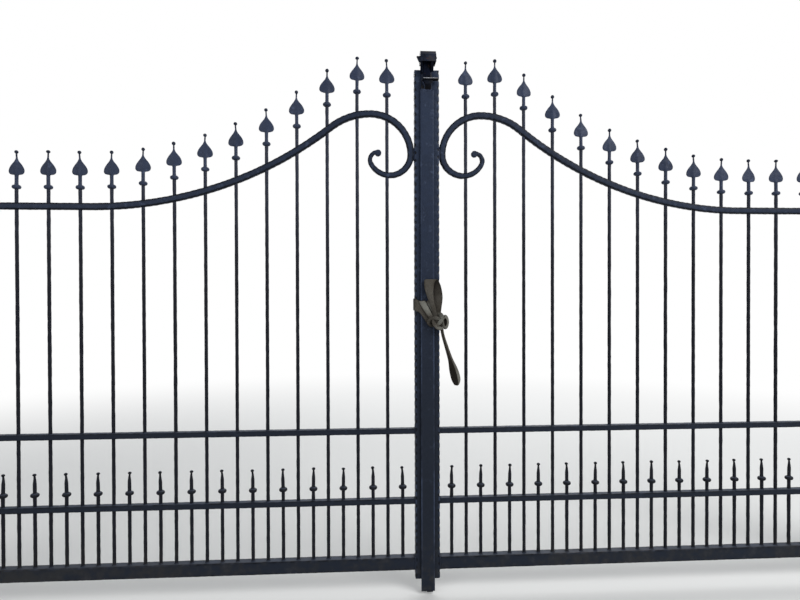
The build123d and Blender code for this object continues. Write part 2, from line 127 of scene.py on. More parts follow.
def keep_values(mesh, name, values):
    """Keeps a number for each point of a mesh under a name."""
    mesh.attributes.new(name, "FLOAT", "POINT").data.foreach_set("value", values)


def show(name, data):
    """Puts a mesh, a lamp or a camera into the scene."""
    made = bpy.data.objects.new(name, data)
    scene.collection.objects.link(made)
    return made


def settle(piece):
    """Keeps what the modifiers of an object make as its plain mesh."""
    graph = bpy.context.evaluated_depsgraph_get()
    piece.data = bpy.data.meshes.new_from_object(piece.evaluated_get(graph))
    piece.modifiers.clear()
    piece.data.name = piece.name


print("box of the fixed model:", [tuple(round(v, 3) for v in corner) for corner in cad_box])

# %% [markdown]
# ## The camera
#
# The gate was looked at from the street, a little left of its middle and at eye level, through
# a fairly wide lens. Such a camera is a place, a heading and a focal length. A small roll is
# kept, because it tilts every rail in the picture.

# %% Camera
CAMERA_PLACE = (1.8493, -2.4246, 1.2048)
CAMERA_HEADING = 0.0646
CAMERA_PITCH = -0.0084
CAMERA_ROLL = -0.0028
CAMERA_LENS = 27.0

camera_data = bpy.data.cameras.new("street_camera")
camera_data.lens = CAMERA_LENS
camera_data.sensor_width = 36.0
camera = show("street_camera", camera_data)
camera.matrix_world = (
    Matrix.Translation(CAMERA_PLACE)
    @ Matrix.Rotation(-CAMERA_HEADING, 4, "Z")
    @ Matrix.Rotation(QUARTER_TURN + CAMERA_PITCH, 4, "X")
    @ Matrix.Rotation(CAMERA_ROLL, 4, "Z")
)
scene.camera = camera
ahead = camera.matrix_world.to_3x3() @ Vector((0, 0, -1))
print("camera looks along", [round(v, 3) for v in ahead])

# %% [markdown]
# ## Arithmetic on sockets
#
# A finish is a sum of masks and noises, and clicking that together from single nodes is slow to
# read. A small class wraps one output socket, so that a Python expression such as 1 - mask adds
# the Math nodes by itself. The same class serves materials and Geometry Nodes.


# %% Sockets with operators
class Wire:
    """One output of a node. Arithmetic on it adds Math nodes."""

    def __init__(self, graph, output):
        self.graph = graph
        self.output = output

    def also(self, name):
        """Another output of the same node."""
        return Wire(self.graph, self.output.node.outputs[name])

    def __add__(self, other):
        return self.graph.maths("ADD", self, other)

    def __sub__(self, other):
        return self.graph.maths("SUBTRACT", self, other)

    def __rsub__(self, other):
        return self.graph.maths("SUBTRACT", other, self)

    def __mul__(self, other):
        return self.graph.maths("MULTIPLY", self, other)

    def __truediv__(self, other):
        return self.graph.maths("DIVIDE", self, other)

    def __pow__(self, other):
        return self.graph.maths("POWER", self, other)

    __radd__ = __add__
    __rmul__ = __mul__


print("operators:", "+ - * / **")

# %% [markdown]
# ## One method for every node
#
# Every node of a material or a Geometry Nodes tree comes from one method. It takes the node's
# type and its settings, which decide what sockets it has, and then the values or links of those
# sockets. Short methods stand for the nodes that come again and again.


# %% Node trees
class Graph:
    """A node tree that is being built."""

    def __init__(self, tree):
        self.tree = tree

    def feed(self, socket, value):
        """Links a wire to a socket, or sets the socket to a plain value."""
        if isinstance(value, Wire):
            self.tree.links.new(value.output, socket)
        else:
            socket.default_value = value

    def node(self, kind, settings=None, inputs=None, output=0):
        """Makes a node: its settings first, then the values or links of its sockets."""
        made = self.tree.nodes.new(kind)
        for name, value in (settings or {}).items():
            setattr(made, name, value)
        for key, value in (inputs or {}).items():
            self.feed(made.inputs[key], value)
        return Wire(self, made.outputs[output]) if made.outputs else None

    def maths(self, operation, first, second=0.0):
        return self.node("ShaderNodeMath", {"operation": operation}, {0: first, 1: second})

    def vectors(self, operation, first, second, socket=1):
        settings = {"operation": operation}
        return self.node("ShaderNodeVectorMath", settings, {0: first, socket: second})

    def clamp(self, value, low=0.0, high=1.0):
        return self.maths("MINIMUM", self.maths("MAXIMUM", value, low), high)

    def step(self, value, start, end):
        """Rises smoothly from 0 to 1 while the value goes from start to end."""
        settings = {"interpolation_type": "SMOOTHSTEP"}
        sockets = {0: value, 1: start, 2: end, 3: 0.0, 4: 1.0}
        return self.node("ShaderNodeMapRange", settings, sockets)

    def parts(self, vector):
        split = self.node("ShaderNodeSeparateXYZ", inputs={0: vector})
        return split, split.also("Y"), split.also("Z")

    def vector(self, x, y, z):
        return self.node("ShaderNodeCombineXYZ", inputs={0: x, 1: y, 2: z})

    def noise(self, vector, scale, detail=2.0, roughness=0.5):
        sockets = {"Vector": vector, "Scale": scale, "Detail": detail, "Roughness": roughness}
        return self.node("ShaderNodeTexNoise", inputs=sockets)


print("node tree methods:", [name for name in vars(Graph) if not name.startswith("_")])

# %% [markdown]
# ## Helpers for finishes
#
# Each finish is a Principled shader. What changes over its surface is wired to the shader, and
# what is the same all over is set on the shader's own socket. Colours are written as they look
# on a screen.


# %% Finish helpers
def rgb(red, green, blue):
    """A colour written in display values from 0 to 255, as a linear colour."""
    levels = [v / 255 for v in (red, green, blue)]
    linear = [v / 12.92 if v <= 0.04045 else ((v + 0.055) / 1.055) ** 2.4 for v in levels]
    return (*linear, 1.0)


class Finish(Graph):
    """A material with a Principled shader and what its masks and noises are made from."""

    def __init__(self, name, gloss):
        self.material = bpy.data.materials.new(name)
        self.material.use_nodes = True
        super().__init__(self.material.node_tree)
        self.shader = self.tree.nodes["Principled BSDF"]
        self.shader.inputs["Specular IOR Level"].default_value = gloss
        self.place = self.node("ShaderNodeTexCoord", output="Object")

    def mix(self, mask, first, second):
        """The first colour where the mask is 0, the second where it is 1."""
        sockets = {0: mask, 6: first, 7: second}
        return self.node("ShaderNodeMix", {"data_type": "RGBA"}, sockets, output=2)

    def attribute(self, name):
        return self.node("ShaderNodeAttribute", {"attribute_name": name}, output="Fac")

    def relief(self, height, strength=1.0):
        """Uses heights in metres as the shader's fine relief."""
        sockets = {"Strength": strength, "Distance": 1.0, "Height": height}
        self.wire(Normal=self.node("ShaderNodeBump", inputs=sockets))

    def wire(self, **sockets):
        """Feeds the shader's sockets; an underscore stands for the space in a name."""
        for name, value in sockets.items():
            self.feed(self.shader.inputs[name.replace("_", " ")], value)


print("paint in display values 38, 47, 65 is", [round(v, 4) for v in rgb(38, 47, 65)])

# %% [markdown]
# ## Paint on forged iron
#
# The gate is painted a blue anthracite over hammered iron. The paint is satin: it shows the
# hammer's flats as soft highlights, grows paler where a face looks up, with dust and a painted
# light from above, is darker low down and in notches by a painted shade, and browner with dirt
# near the ground. Flat stock, round bars and forged pieces each have their own dark, main and
# light tone; the darker tones of the bars are a painted shade.

# %% Tones of the paint
PAINT_TONES = rgb(22, 27, 38), rgb(38, 47, 65), rgb(66, 77, 100)
# The bars' darker tones are a painted shade of the thin round bars.
SHADED_BAR_TONES = rgb(30, 33, 42), rgb(44, 48, 61), rgb(64, 70, 88)
FORGED_TONES = rgb(30, 35, 48), rgb(52, 60, 80), rgb(84, 95, 121)
# The low tones are painted shade: the paint grows darker towards the bottom, where less light
# falls.
LOW_SHADE = rgb(25, 29, 36), 1.7, 0.6
LOW_BAR_SHADE = rgb(10, 10, 13), 1.8, 1.25
NOTCH_SHADE = rgb(6, 8, 14)
# This tone is dust and also a painted light on faces that look up.
DUST_AND_TOP_LIGHT = rgb(72, 79, 94)
GROUND_DIRT = rgb(54, 52, 48)
RUST = rgb(66, 42, 30)
PAINT_GLOSS = 0.1
print("main tone of the round bars:", [round(v, 4) for v in SHADED_BAR_TONES[1]])

# %% [markdown]
# ## Mixing the paint
#
# A mask is a number from 0 to 1 at each point of the surface. Noise gives the masks of blotches
# and specks, the direction of a face gives the dust together with a painted light from above, the
# height gives a painted shade low down and the dirt near the ground, and two values kept on the
# mesh mark the corners, for wear and a painted highlight, and the notches, for a painted shade.
# Each mask lays one more tone over the last. An image would need an unwrapped mesh for that,
# while noise fits any shape. A Bump node adds the fine peel of the paint and the shallow hammer
# marks that the mesh is too coarse to hold.

# %% Painted iron
CLOUD_SCALE, BLOTCH_SCALE, SPECK_SCALE, GRAIN_SCALE = 3.1, 34.0, 88.0, 420.0


def painted_iron(name, hammer_depth, hammer_scale, tones=PAINT_TONES, low_shade=LOW_SHADE):
    """Satin paint in three tones over iron hammered this deep and at this scale.

    The low shade is a painted shade: a colour, the height where it sets in and the height
    where it is full.
    """
    dark, main, light = tones
    low_shade_tone, low_from, low_to = low_shade
    paint = Finish(name, PAINT_GLOSS)
    height = paint.parts(paint.place)[2]
    facing = paint.parts(paint.node("ShaderNodeNewGeometry", output="Normal"))[2]
    cloud = paint.noise(paint.place, CLOUD_SCALE, 4.0, 0.6)
    blotch = paint.noise(paint.place, BLOTCH_SCALE, 3.0, 0.6)
    grain = paint.noise(paint.place, GRAIN_SCALE, 2.0, 0.5)
    shade = paint.clamp(0.3 + (cloud - 0.5) * 1.4 + (blotch - 0.5) * 1.2)
    # Painted shade: darker towards the bottom.
    low = paint.step(height + (cloud - 0.5) * 0.4, low_from, low_to)
    # Lighter corners: a painted highlight along the edges, together with paint rubbed off them.
    edge = paint.step(paint.attribute("corner") + (grain - 0.5) * 0.5, 0.5, 0.95)
    rubbed_and_highlit = edge * paint.step(cloud + blotch * 0.6, 0.62, 0.95)
    # Faces that look up: dust together with a painted light from above.
    dust_and_top_light = paint.step(facing, 0.55, 0.95) * paint.clamp(0.1 + blotch * 0.8)
    # Painted shade in notches, along corners and on the finials' tips.
    notch = paint.step(paint.attribute("notch"), 0.03, 0.4)
    dirt = paint.step(height, 0.3, 0.02) * paint.step(blotch + cloud, 0.8, 1.25)
    specks = paint.step(paint.noise(paint.place, SPECK_SCALE, 5.0, 0.7), 0.68, 0.74)
    colour = paint.mix(shade, main, dark)
    for mask, tone in ((paint.step(blotch, 0.55, 0.74) * 0.55, light), (low * 0.75, low_shade_tone),
                       (rubbed_and_highlit * 0.55, light), (dust_and_top_light, DUST_AND_TOP_LIGHT), (notch * 0.92, NOTCH_SHADE),
                       (dirt * 0.6, GROUND_DIRT), (specks * 0.5, RUST)):
        colour = paint.mix(mask, colour, tone)
    sockets = {"Vector": paint.place, "Scale": hammer_scale, "Smoothness": 0.6}
    hollow = paint.node("ShaderNodeTexVoronoi", {"feature": "SMOOTH_F1"}, sockets)
    paint.relief(hollow * hammer_depth + grain * 0.00004 + blotch * 0.0003)
    rough = 0.42 + (blotch - 0.5) * 0.35 + dust_and_top_light * 0.3 + specks * 0.3 - rubbed_and_highlit * 0.1
    paint.wire(Base_Color=colour, Roughness=paint.clamp(rough))
    return paint.material


flat_paint = painted_iron("painted_flat_iron", 0.0006, 38.0)
bar_paint = painted_iron("painted_hammered_bars", 0.0008, 90.0, SHADED_BAR_TONES, LOW_BAR_SHADE)
forged_paint = painted_iron("painted_forged_iron", 0.0009, 70.0, FORGED_TONES)
post_paint = painted_iron("painted_post_steel", 0.0001, 9.0)
print("paints:", [m.name for m in (flat_paint, bar_paint, forged_paint, post_paint)])

# %% [markdown]
# ## Steel of the catch
#
# The catch at the top is handled at every opening, so its paint is worn to a brown grey in large
# soft patches. Inside the catch and under its shelf the steel lies in shade and is painted nearly
# black as a painted shade, and the shelf's lip is rubbed bare by the bolt that slides over it and
# is painted light as a highlight as well.

# %% Worn steel
PATCH_SCALE, TONE_SCALE, RUST_SCALE, WEAR_SCALE = 17.0, 48.0, 61.0, 260.0


def worn_steel(name, dark, light, brown, share, gloss):
    """Steel in two tones, with this share of brown where it is worn."""
    steel = Finish(name, gloss)
    cloud = steel.noise(steel.place, PATCH_SCALE, 4.0, 0.62)
    grain = steel.noise(steel.place, WEAR_SCALE, 3.0, 0.6)
    worn = steel.step(cloud + (grain - 0.5) * 0.25, 0.52, 0.64)
    rust = steel.step(steel.noise(steel.place, RUST_SCALE, 5.0, 0.7), 0.6, 0.7)
    tone = steel.step(steel.noise(steel.place, TONE_SCALE, 3.0, 0.6), 0.3, 0.7)
    colour = steel.mix(tone, rgb(*dark), rgb(*light))
    colour = steel.mix(worn * share, colour, rgb(*brown))
    colour = steel.mix(rust * 0.6, colour, RUST)
    steel.relief(worn * -0.00012 + grain * 0.00012 + cloud * 0.0015)
    rough = steel.clamp(0.42 + worn * 0.22)
    steel.wire(Base_Color=colour, Roughness=rough, Metallic=worn * 0.25)
    return steel.material


catch_steel = worn_steel("worn_catch_steel", (4, 7, 16), (24, 31, 47), (56, 52, 49), 0.6, 0.1)
# The shaded steel and the gusset steel are painted shade for parts that lie in shade.
shade_steel = worn_steel("shaded_catch_steel", (2, 4, 12), (10, 15, 30), (26, 25, 26), 0.3, 0.03)
gusset_steel = worn_steel("gusset_steel", (3, 5, 11), (17, 21, 31), (34, 32, 31), 0.45, 0.04)
# The lip's light tones are wear and also a painted highlight on its edge.
bare_highlit_steel = worn_steel("rubbed_bare_steel", (96, 99, 106), (150, 152, 156), (120, 112, 104),
                        0.5, 0.25)
print("catch:", [m.name for m in (catch_steel, shade_steel, gusset_steel, bare_highlit_steel)])

# %% [markdown]
# ## Floor
#
# A plain pale floor. Far from the gate it fades into the room for the camera alone, so that no
# horizon is seen behind the bars.

# %% Floor
FLOOR_HALF = 30.0
FADE_FROM, FADE_TO = 2.4, 7.0
FLOOR_GLOSS = 0.1

floor_mesh = bpy.data.meshes.new("floor")
corners = [(x * FLOOR_HALF, y * FLOOR_HALF, 0.0) for x, y in ((-1, -1), (1, -1), (1, 1), (-1, 1))]
floor_mesh.from_pydata(corners, [], [(0, 1, 2, 3)])
floor = show("floor", floor_mesh)
pale = Finish("pale_floor", FLOOR_GLOSS)
pale.wire(Base_Color=(0.72, 0.72, 0.71, 1), Roughness=0.9)
gate_centre = (cad_box[0] + cad_box[1]) / 2
foot = (gate_centre.x, gate_centre.y, 0.0)
away = pale.node("ShaderNodeVectorMath", {"operation": "DISTANCE"}, {0: pale.place, 1: foot},
                 output="Value")
seen = pale.node("ShaderNodeLightPath", output="Is Camera Ray")
glow = pale.node("ShaderNodeEmission", inputs={"Color": (1, 1, 1, 1), "Strength": 1.0})
plain = Wire(pale, pale.shader.outputs["BSDF"])
sockets = {0: seen * pale.step(away, FADE_FROM, FADE_TO), 1: plain, 2: glow}
faded = pale.node("ShaderNodeMixShader", inputs=sockets)
pale.feed(pale.tree.nodes["Material Output"].inputs["Surface"], faded)
floor_mesh.materials.append(pale.material)
print("floor side:", 2 * FLOOR_HALF, "m")

# %% [markdown]
# ## Soft light
#
# Three large lamps light the gate: a key on the street's right, a weaker fill on its left and one
# behind the gate. Large lamps give soft highlights, as an overcast sky does.

# %% Lamps
LAMPS = {  # place from the gate's middle, height of the aim, width, height and watts
    "key": ((4.2, -4.6, 5.0), 1.1, 4.5, 4.0, 400),
    "fill": ((-4.5, -5.5, 3.4), 1.0, 4.0, 3.0, 100),
    "back": ((1.5, 5.5, 5.0), 1.2, 6.0, 3.0, 240),
}

for name, ((x, y, z), aim, width, height, watts) in LAMPS.items():
    lamp = bpy.data.lights.new(name, "AREA")
    lamp.shape = "RECTANGLE"
    lamp.size, lamp.size_y, lamp.energy = width, height, watts
    made = show(name, lamp)
    made.location = (gate_centre.x + x, y, z)
    heading = Vector((gate_centre.x, 0, aim)) - Vector((gate_centre.x + x, y, z))
    made.rotation_euler = heading.to_track_quat("-Z", "Y").to_euler()
print("lamps:", list(LAMPS))

# %% [markdown]
# ## A pale room
#
# The camera, a gloss and a glass see a white room through the Light Path node, while the light
# that falls on the gate stays at a plain level. Stronger lamps would whiten the background too,
# but they would bleach the paint as well.

# %% Room
ROOM_LEVEL = 0.42

world = bpy.data.worlds.new("pale_room")
scene.world = world
world.use_nodes = True
sky = Graph(world.node_tree)
seen = sky.node("ShaderNodeLightPath", output="Is Camera Ray")
shown = sky.clamp(seen + seen.also("Is Glossy Ray") * 0.6 + seen.also("Is Transmission Ray"))
room_colour = sky.node("ShaderNodeMix", {"data_type": "RGBA"},
                       {0: shown, 6: (0.92, 0.96, 1.0, 1), 7: (1.0, 1.0, 1.0, 1)}, output=2)
background = world.node_tree.nodes["Background"]
sky.feed(background.inputs["Color"], room_colour)
sky.feed(background.inputs["Strength"], ROOM_LEVEL + shown * (1 - ROOM_LEVEL))
scene.view_settings.view_transform = "Standard"
print("light of the room:", ROOM_LEVEL)

# %% [markdown]
# ## Where things are
#
# The fixed model already says where every bar and finial stands. Its meshes are loose
# triangles, so a copy is merged and split into its separate solids, and each solid's box gives
# a place and a height. If the gate's sizes change, the pieces below follow by themselves.


# %% Boxes of the solids in a node
def merged_copy(node_name):
    """A copy of a fixed node's mesh whose loose triangles are joined at their corners."""
    merged = bmesh.new()
    merged.from_mesh(frame["nodes"][node_name].data)
    bmesh.ops.remove_doubles(merged, verts=merged.verts, dist=1e-6)
    return merged


def solid_boxes(node_name):
    """Lowest and highest corner of each separate solid of a node, from left to right."""
    merged = merged_copy(node_name)
    merged.verts.ensure_lookup_table()
    seen = set()
    boxes = []
    for first in merged.verts:
        if first.index in seen:
            continue
        seen.add(first.index)
        island = [first]
        for vert in island:
            for edge in vert.link_edges:
                other = edge.other_vert(vert)
                if other.index not in seen:
                    seen.add(other.index)
                    island.append(other)
        places = np.array([v.co[:] for v in island])
        boxes.append((Vector(places.min(axis=0)), Vector(places.max(axis=0))))
    merged.free()
    return sorted(boxes, key=lambda box: box[0].x)


def middle_of(box):
    return (box[0] + box[1]) / 2


tall_boxes = solid_boxes("left_tall_bars")
print("tall bars of a leaf:", len(tall_boxes))

# %% [markdown]
# ## Sizes that both leaves share
#
# The same code builds both leaves, so a side is a name and a sign: everything on the left lies
# at a negative distance from the gate's middle. The middle and the radius of the bars are read
# from the fixed model.

# %% Sides, middle and bar radius
SIDES = {"left": -1, "right": 1}
left_stile_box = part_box("left_meeting_stile")
gate_middle = (left_stile_box[1].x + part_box("right_meeting_stile")[0].x) / 2
bar_radius = tall_boxes[0][1].y
print("gate middle:", round(gate_middle, 4), "bar radius:", round(bar_radius, 4))

# %% [markdown]
# ## Growing pieces with Geometry Nodes
#
# Most of the gate is bar stock that follows a line: bars, rails, stiles, the scroll, even the
# weld beads. One class builds a tree with named inputs for its sizes. Each tree ends in Realize
# Instances and Set Material, because only real faces with a finish can be kept as a mesh.

# %% A tree that shapes lines
SOCKET_KINDS = {float: "NodeSocketFloat", int: "NodeSocketInt"}
FLOAT_POINT = {"data_type": "FLOAT", "domain": "POINT"}


class ShapeTree(Graph):
    """A Geometry Nodes tree with named inputs for its sizes."""

    def __init__(self, name, **sizes):
        super().__init__(bpy.data.node_groups.new(name, "GeometryNodeTree"))
        self.socket("Geometry", "INPUT", "NodeSocketGeometry")
        self.identifiers = {}
        for label, start in sizes.items():
            made = self.socket(label, "INPUT", SOCKET_KINDS[type(start)])
            made.default_value = start
            self.identifiers[label] = made.identifier
        self.socket("Geometry", "OUTPUT", "NodeSocketGeometry")
        self.lines = self.node("NodeGroupInput")
        self.place = self.node("GeometryNodeInputPosition")

    def socket(self, label, way, kind):
        return self.tree.interface.new_socket(label, in_out=way, socket_type=kind)

    def size(self, label):
        return self.lines.also(label)

    def moved(self, geometry, offset):
        return self.node("GeometryNodeSetPosition",
                         inputs={"Geometry": geometry, "Offset": offset})

    def push_out(self, geometry, distance):
        """Moves each vertex along its normal."""
        normal = self.node("GeometryNodeInputNormal")
        return self.moved(geometry, self.vectors("SCALE", normal, distance, "Scale"))

    def cut(self, length):
        """The lines as curves with a point after each such length."""
        curve = self.node("GeometryNodeMeshToCurve", inputs={0: self.lines})
        sockets = {"Curve": curve, "Length": length}
        return self.node("GeometryNodeResampleCurve", {"mode": "LENGTH"}, sockets)

    def tube(self, curve, sides):
        """A circle swept along curves and closed at both ends."""
        sockets = {"Resolution": sides, "Radius": self.size("Radius")}
        circle = self.node("GeometryNodeCurvePrimitiveCircle", inputs=sockets)
        sockets = {"Curve": curve, "Profile Curve": circle, "Fill Caps": True}
        return self.node("GeometryNodeCurveToMesh", inputs=sockets)

    def stored(self, geometry, name, value):
        sockets = {"Geometry": geometry, "Name": name, "Value": value}
        return self.node("GeometryNodeStoreNamedAttribute", FLOAT_POINT, sockets)

    def named(self, name):
        settings = {"data_type": "FLOAT"}
        return self.node("GeometryNodeInputNamedAttribute", settings, {"Name": name})

    def close(self, geometry, material):
        """Ends the tree in real, smooth faces that have a finish."""
        real = self.node("GeometryNodeRealizeInstances", inputs={0: geometry})
        smooth = self.node("GeometryNodeSetShadeSmooth", inputs={"Geometry": real})
        painted = self.node("GeometryNodeSetMaterial",
                            inputs={"Geometry": smooth, "Material": material})
        self.node("NodeGroupOutput", inputs={0: painted})
        print(f"tree {self.tree.name}: {len(self.tree.nodes)} nodes")


print("inputs of a tree can be:", [kind.__name__ for kind in SOCKET_KINDS])

# %% [markdown]
# ## From lines to a fastened piece
#
# A tree works on an object, so the lines become one first, and what the tree makes of them is
# kept as a plain mesh. Then the piece is fastened: it moves with one body of the gate and stands
# for nodes of the fixed model.


# %% Growing and fastening a piece
def line_mesh(runs):
    """A mesh of runs of points, each with a mark that says whether it closes."""
    points, edges = [], []
    for run, closed in runs:
        first = len(points)
        points.extend(run)
        edges.extend((first + i, first + i + 1) for i in range(len(run) - 1))
        if closed:
            edges.append((first + len(run) - 1, first))
    mesh = bpy.data.meshes.new("lines")
    mesh.from_pydata([tuple(p) for p in points], edges, [])
    return mesh


def fasten(piece, body, *nodes, slot="painted_iron"):
    """Says which body carries the piece and which nodes it stands for. The slot is not used."""
    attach(piece, body)
    if nodes:
        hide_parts(*nodes)
    triangles = sum(len(p.vertices) - 2 for p in piece.data.polygons)
    print(f"{piece.name}: {triangles} triangles")


def grow(name, tree, lines, body, *nodes, **sizes):
    """Runs a tree on lines and fastens the result, which is a plain mesh."""
    piece = show(name, lines)
    modifier = piece.modifiers.new("shape", "NODES")
    modifier.node_group = tree.tree
    for label, value in sizes.items():
        modifier[tree.identifiers[label]] = value
    settle(piece)
    fasten(piece, body, *nodes)


def names_of(side_name, kinds):
    """Names of the nodes of these kinds on one side."""
    return [f"{side_name}_{kind}" for kind in kinds]


print("nodes of the left leaf's rails:", names_of("left", ("bottom_rail", "mid_rail")))

# %% [markdown]
# ## Hammered round bars
#
# The infill bars are round stock that went under a hammer, so their outline waves in and out
# by half a millimetre and their faces are small flats. The tree turns each straight line into
# a curve, cuts it into short lengths, sweeps a circle along it, and pushes the skin in and out
# by a noise that is longer along the bar than round it.

# %% Tree of the hammered bars
BAR_SIDES = 12
BAR_DEPTH = 0.0014

bar_tree = ShapeTree("hammered_bar", Radius=0.007, Ring=0.008, Depth=0.001, Wander=0.0006)
bar_curve = bar_tree.cut(bar_tree.size("Ring"))
sway = bar_tree.noise(bar_tree.place, 4.0, 1.0).also("Color")
sway = bar_tree.vectors("SUBTRACT", sway, (0.5, 0.5, 0.5))
sway = bar_tree.vectors("MULTIPLY", sway, (1, 1, 0))
sway = bar_tree.vectors("SCALE", sway, bar_tree.size("Wander"), "Scale")
bar_skin = bar_tree.tube(bar_tree.moved(bar_curve, sway), BAR_SIDES)
long_place = bar_tree.vectors("MULTIPLY", bar_tree.place, (1, 1, 0.45))
flat_place = bar_tree.vectors("MULTIPLY", bar_tree.place, (0.5, 0.5, 1))
blows = bar_tree.noise(long_place, 95.0, 1.0) - 0.52
flats = bar_tree.noise(flat_place, 42.0, 0.0) - 0.5
bar_skin = bar_tree.push_out(bar_skin, (blows + flats) * bar_tree.size("Depth"))
bar_tree.close(bar_skin, bar_paint)

# %% [markdown]
# ## Bars in their places
#
# A leaf has tall bars and, between them, short dog bars that keep small animals out. Each bar of
# the fixed model gives one line, from the middle of its foot to the middle of its head, so all
# bars of a kind are grown at once.

# %% Tall bars and dog bars
for side_name in SIDES:
    for kind in ("tall_bars", "dog_bars"):
        runs = []
        for box in solid_boxes(f"{side_name}_{kind}"):
            middle = middle_of(box)
            runs.append(([(middle.x, middle.y, end.z) for end in box], False))
        grow(f"{side_name}_hammered_{kind}", bar_tree, line_mesh(runs), f"{side_name}_leaf",
             f"{side_name}_{kind}", Radius=bar_radius, Depth=BAR_DEPTH)

# %% [markdown]
# ## A finial as a stack of rings
#
# Each tall bar ends in a forged finial: a round knop, a short shank, a flat spade that thins
# towards its edges, a drawn-out neck and a ball. It could be sculpted, but a piece like that is a
# stack of rings, wide and thin at the spade and round elsewhere, so a few functions of the
# height describe it, and every size stays a number that can be changed.

# %% Rings
FINIAL_SIDES = 24
BALL_LEVELS = 7
RIDGE_WIDTH = 6.5 * mm


def ring(height, half_width, half_depth=None, ridge=0.0, lean=0.0):
    """Points round one ring; a ridge thickens its middle and a lean moves it sideways."""
    half_depth = half_depth or half_width
    points = []
    for angle in turn_angles(FINIAL_SIDES):
        across, face = math.cos(angle), math.sin(angle)
        swell = ridge * math.exp(-((across * half_width / RIDGE_WIDTH) ** 2)) * face
        if half_width > 1.6 * half_depth:
            face = abs(face) ** 0.55 * math.copysign(1, face)
        points.append((across * half_width + lean, face * half_depth + swell, height))
    return points


def ball_rings(centre, radius, neck, squash, lean):
    """Rings of a ball that sits on a neck and closes at its top."""
    foot = -math.acos(min(0.95, neck / radius))
    for i in range(BALL_LEVELS + 1):
        angle = between(foot, QUARTER_TURN, i / BALL_LEVELS)
        width = max(radius * math.cos(angle), radius * 0.12)
        yield ring(centre + radius * squash * math.sin(angle), width, lean=lean)


print("points in a ring:", FINIAL_SIDES)

# %% [markdown]
# ## Stacks of rings
#
# Neighbouring rings are joined by four-sided faces and the two ends are closed, which makes a
# solid form. The neck and the ball are marked as dark, because the paint is thick and shaded
# there.

# %% Stacks
TIP_SHADE = 0.22


def add_stack(work, rings):
    """Adds a closed stack of rings to a bmesh."""
    rows = [[work.verts.new(p) for p in r] for r in rings]
    sides = len(rows[0])
    for low, high in zip(rows, rows[1:]):
        for i in range(sides):
            j = (i + 1) % sides
            work.faces.new((low[i], low[j], high[j], high[i]))
    work.faces.new(list(reversed(rows[0])))
    work.faces.new(rows[-1])


def finial_mesh(name, rings, shaded_from):
    """A closed stack of rings whose points above a height are marked for a painted shade."""
    work = bmesh.new()
    notch = work.verts.layers.float.new("notch")
    add_stack(work, rings)
    for vert, place in zip(work.verts, (p for r in rings for p in r)):
        # Painted shade on the neck and the ball.
        vert[notch] = TIP_SHADE if place[2] > shaded_from else 0.0
    return mesh_from(work, name)


print("shade of the tips:", TIP_SHADE)

# %% [markdown]
# ## The knop
#
# Both kinds of finial sit on a knop, a thick collar with a round rim that hides where the bar
# ends. Its rings follow half a circle.

# %% Knops
KNOP_HEIGHT = 16 * mm
KNOP_RADIUS = 16.5 * mm
RIM_STEPS = 8


def knop_rings():
    """Rings of the round knop, from its flat foot to the bar above it."""
    yield ring(0.0, bar_radius * 0.98)
    rim = KNOP_HEIGHT / 2
    for i in range(RIM_STEPS + 1):
        angle = math.pi * (-0.5 + i / RIM_STEPS)
        yield ring(rim + rim * math.sin(angle), KNOP_RADIUS - rim + rim * math.cos(angle))
    yield ring(KNOP_HEIGHT + 1.5 * mm, bar_radius * 1.06)


print("rings of a knop:", len(list(knop_rings())))

# %% [markdown]
# ## The spade
#
# The spade on a tall bar is hammered flat and keeps a ridge down its middle. Its outline is a
# curve of no simple rule, so it is a short list of heights and widths. The neck is drawn out
# of the spade's point and carries the ball.

# %% Spades
SHANK_END = KNOP_HEIGHT + 39 * mm
SPADE_RISE = 66
SPADE_END = SHANK_END + SPADE_RISE * mm
TIP = SHANK_END + 95.5 * mm
NECK_RADIUS = 3.2 * mm
# Height above the shank and half width, in mm
SPADE_WIDTHS = ((0.0, 15.0), (0.8, 20.0), (2.4, 24.2), (5.2, 27.6), (9.5, 30.0), (14.5, 30.6),
                (20.0, 30.0), (26.0, 28.0), (31.5, 25.2), (37.0, 21.6), (42.5, 17.3), (48.0, 12.7),
                (53.0, 8.8), (58.0, 5.9), (62.0, 4.3), (66.0, 3.3))


def spade(name, ball_radius, squash, lean):
    """A spade finial on its knop and shank, with a neck and a ball."""
    rings = list(knop_rings())
    for part in (0.25, 0.55, 0.85):
        rings.append(ring(between(KNOP_HEIGHT, SHANK_END, part), bar_radius * 0.97))
    rings.append(ring(SHANK_END - 0.6 * mm, bar_radius * 1.1, bar_radius))
    for rise, half in SPADE_WIDTHS:
        share = rise / SPADE_RISE
        depth = (2.2 + 1.1 * share) * mm
        ridge = (max(0.0, 4.8 * (1 - share * 1.5)) + 1.2 * (1 - share)) * mm
        rings.append(ring(SHANK_END + rise * mm, half * mm, depth, ridge))
    ball_middle = TIP - ball_radius * squash
    neck_top = ball_middle - ball_radius * squash * 0.9
    for part in (0.3, 0.6, 0.9):
        height = between(SPADE_END, neck_top, part)
        rings.append(ring(height, NECK_RADIUS * (1.02 - 0.1 * part), lean=lean * part))
    rings.extend(ball_rings(ball_middle, ball_radius, NECK_RADIUS, squash, lean))
    return finial_mesh(name, rings, SPADE_END)


print("spade finial:", round(TIP / mm, 1), "mm tall")

# %% [markdown]
# ## The finial of a dog bar
#
# The short bars end more plainly: a knop, a piece of bar, a taper and a flattened ball. It is
# the same kind of stack with fewer rings.

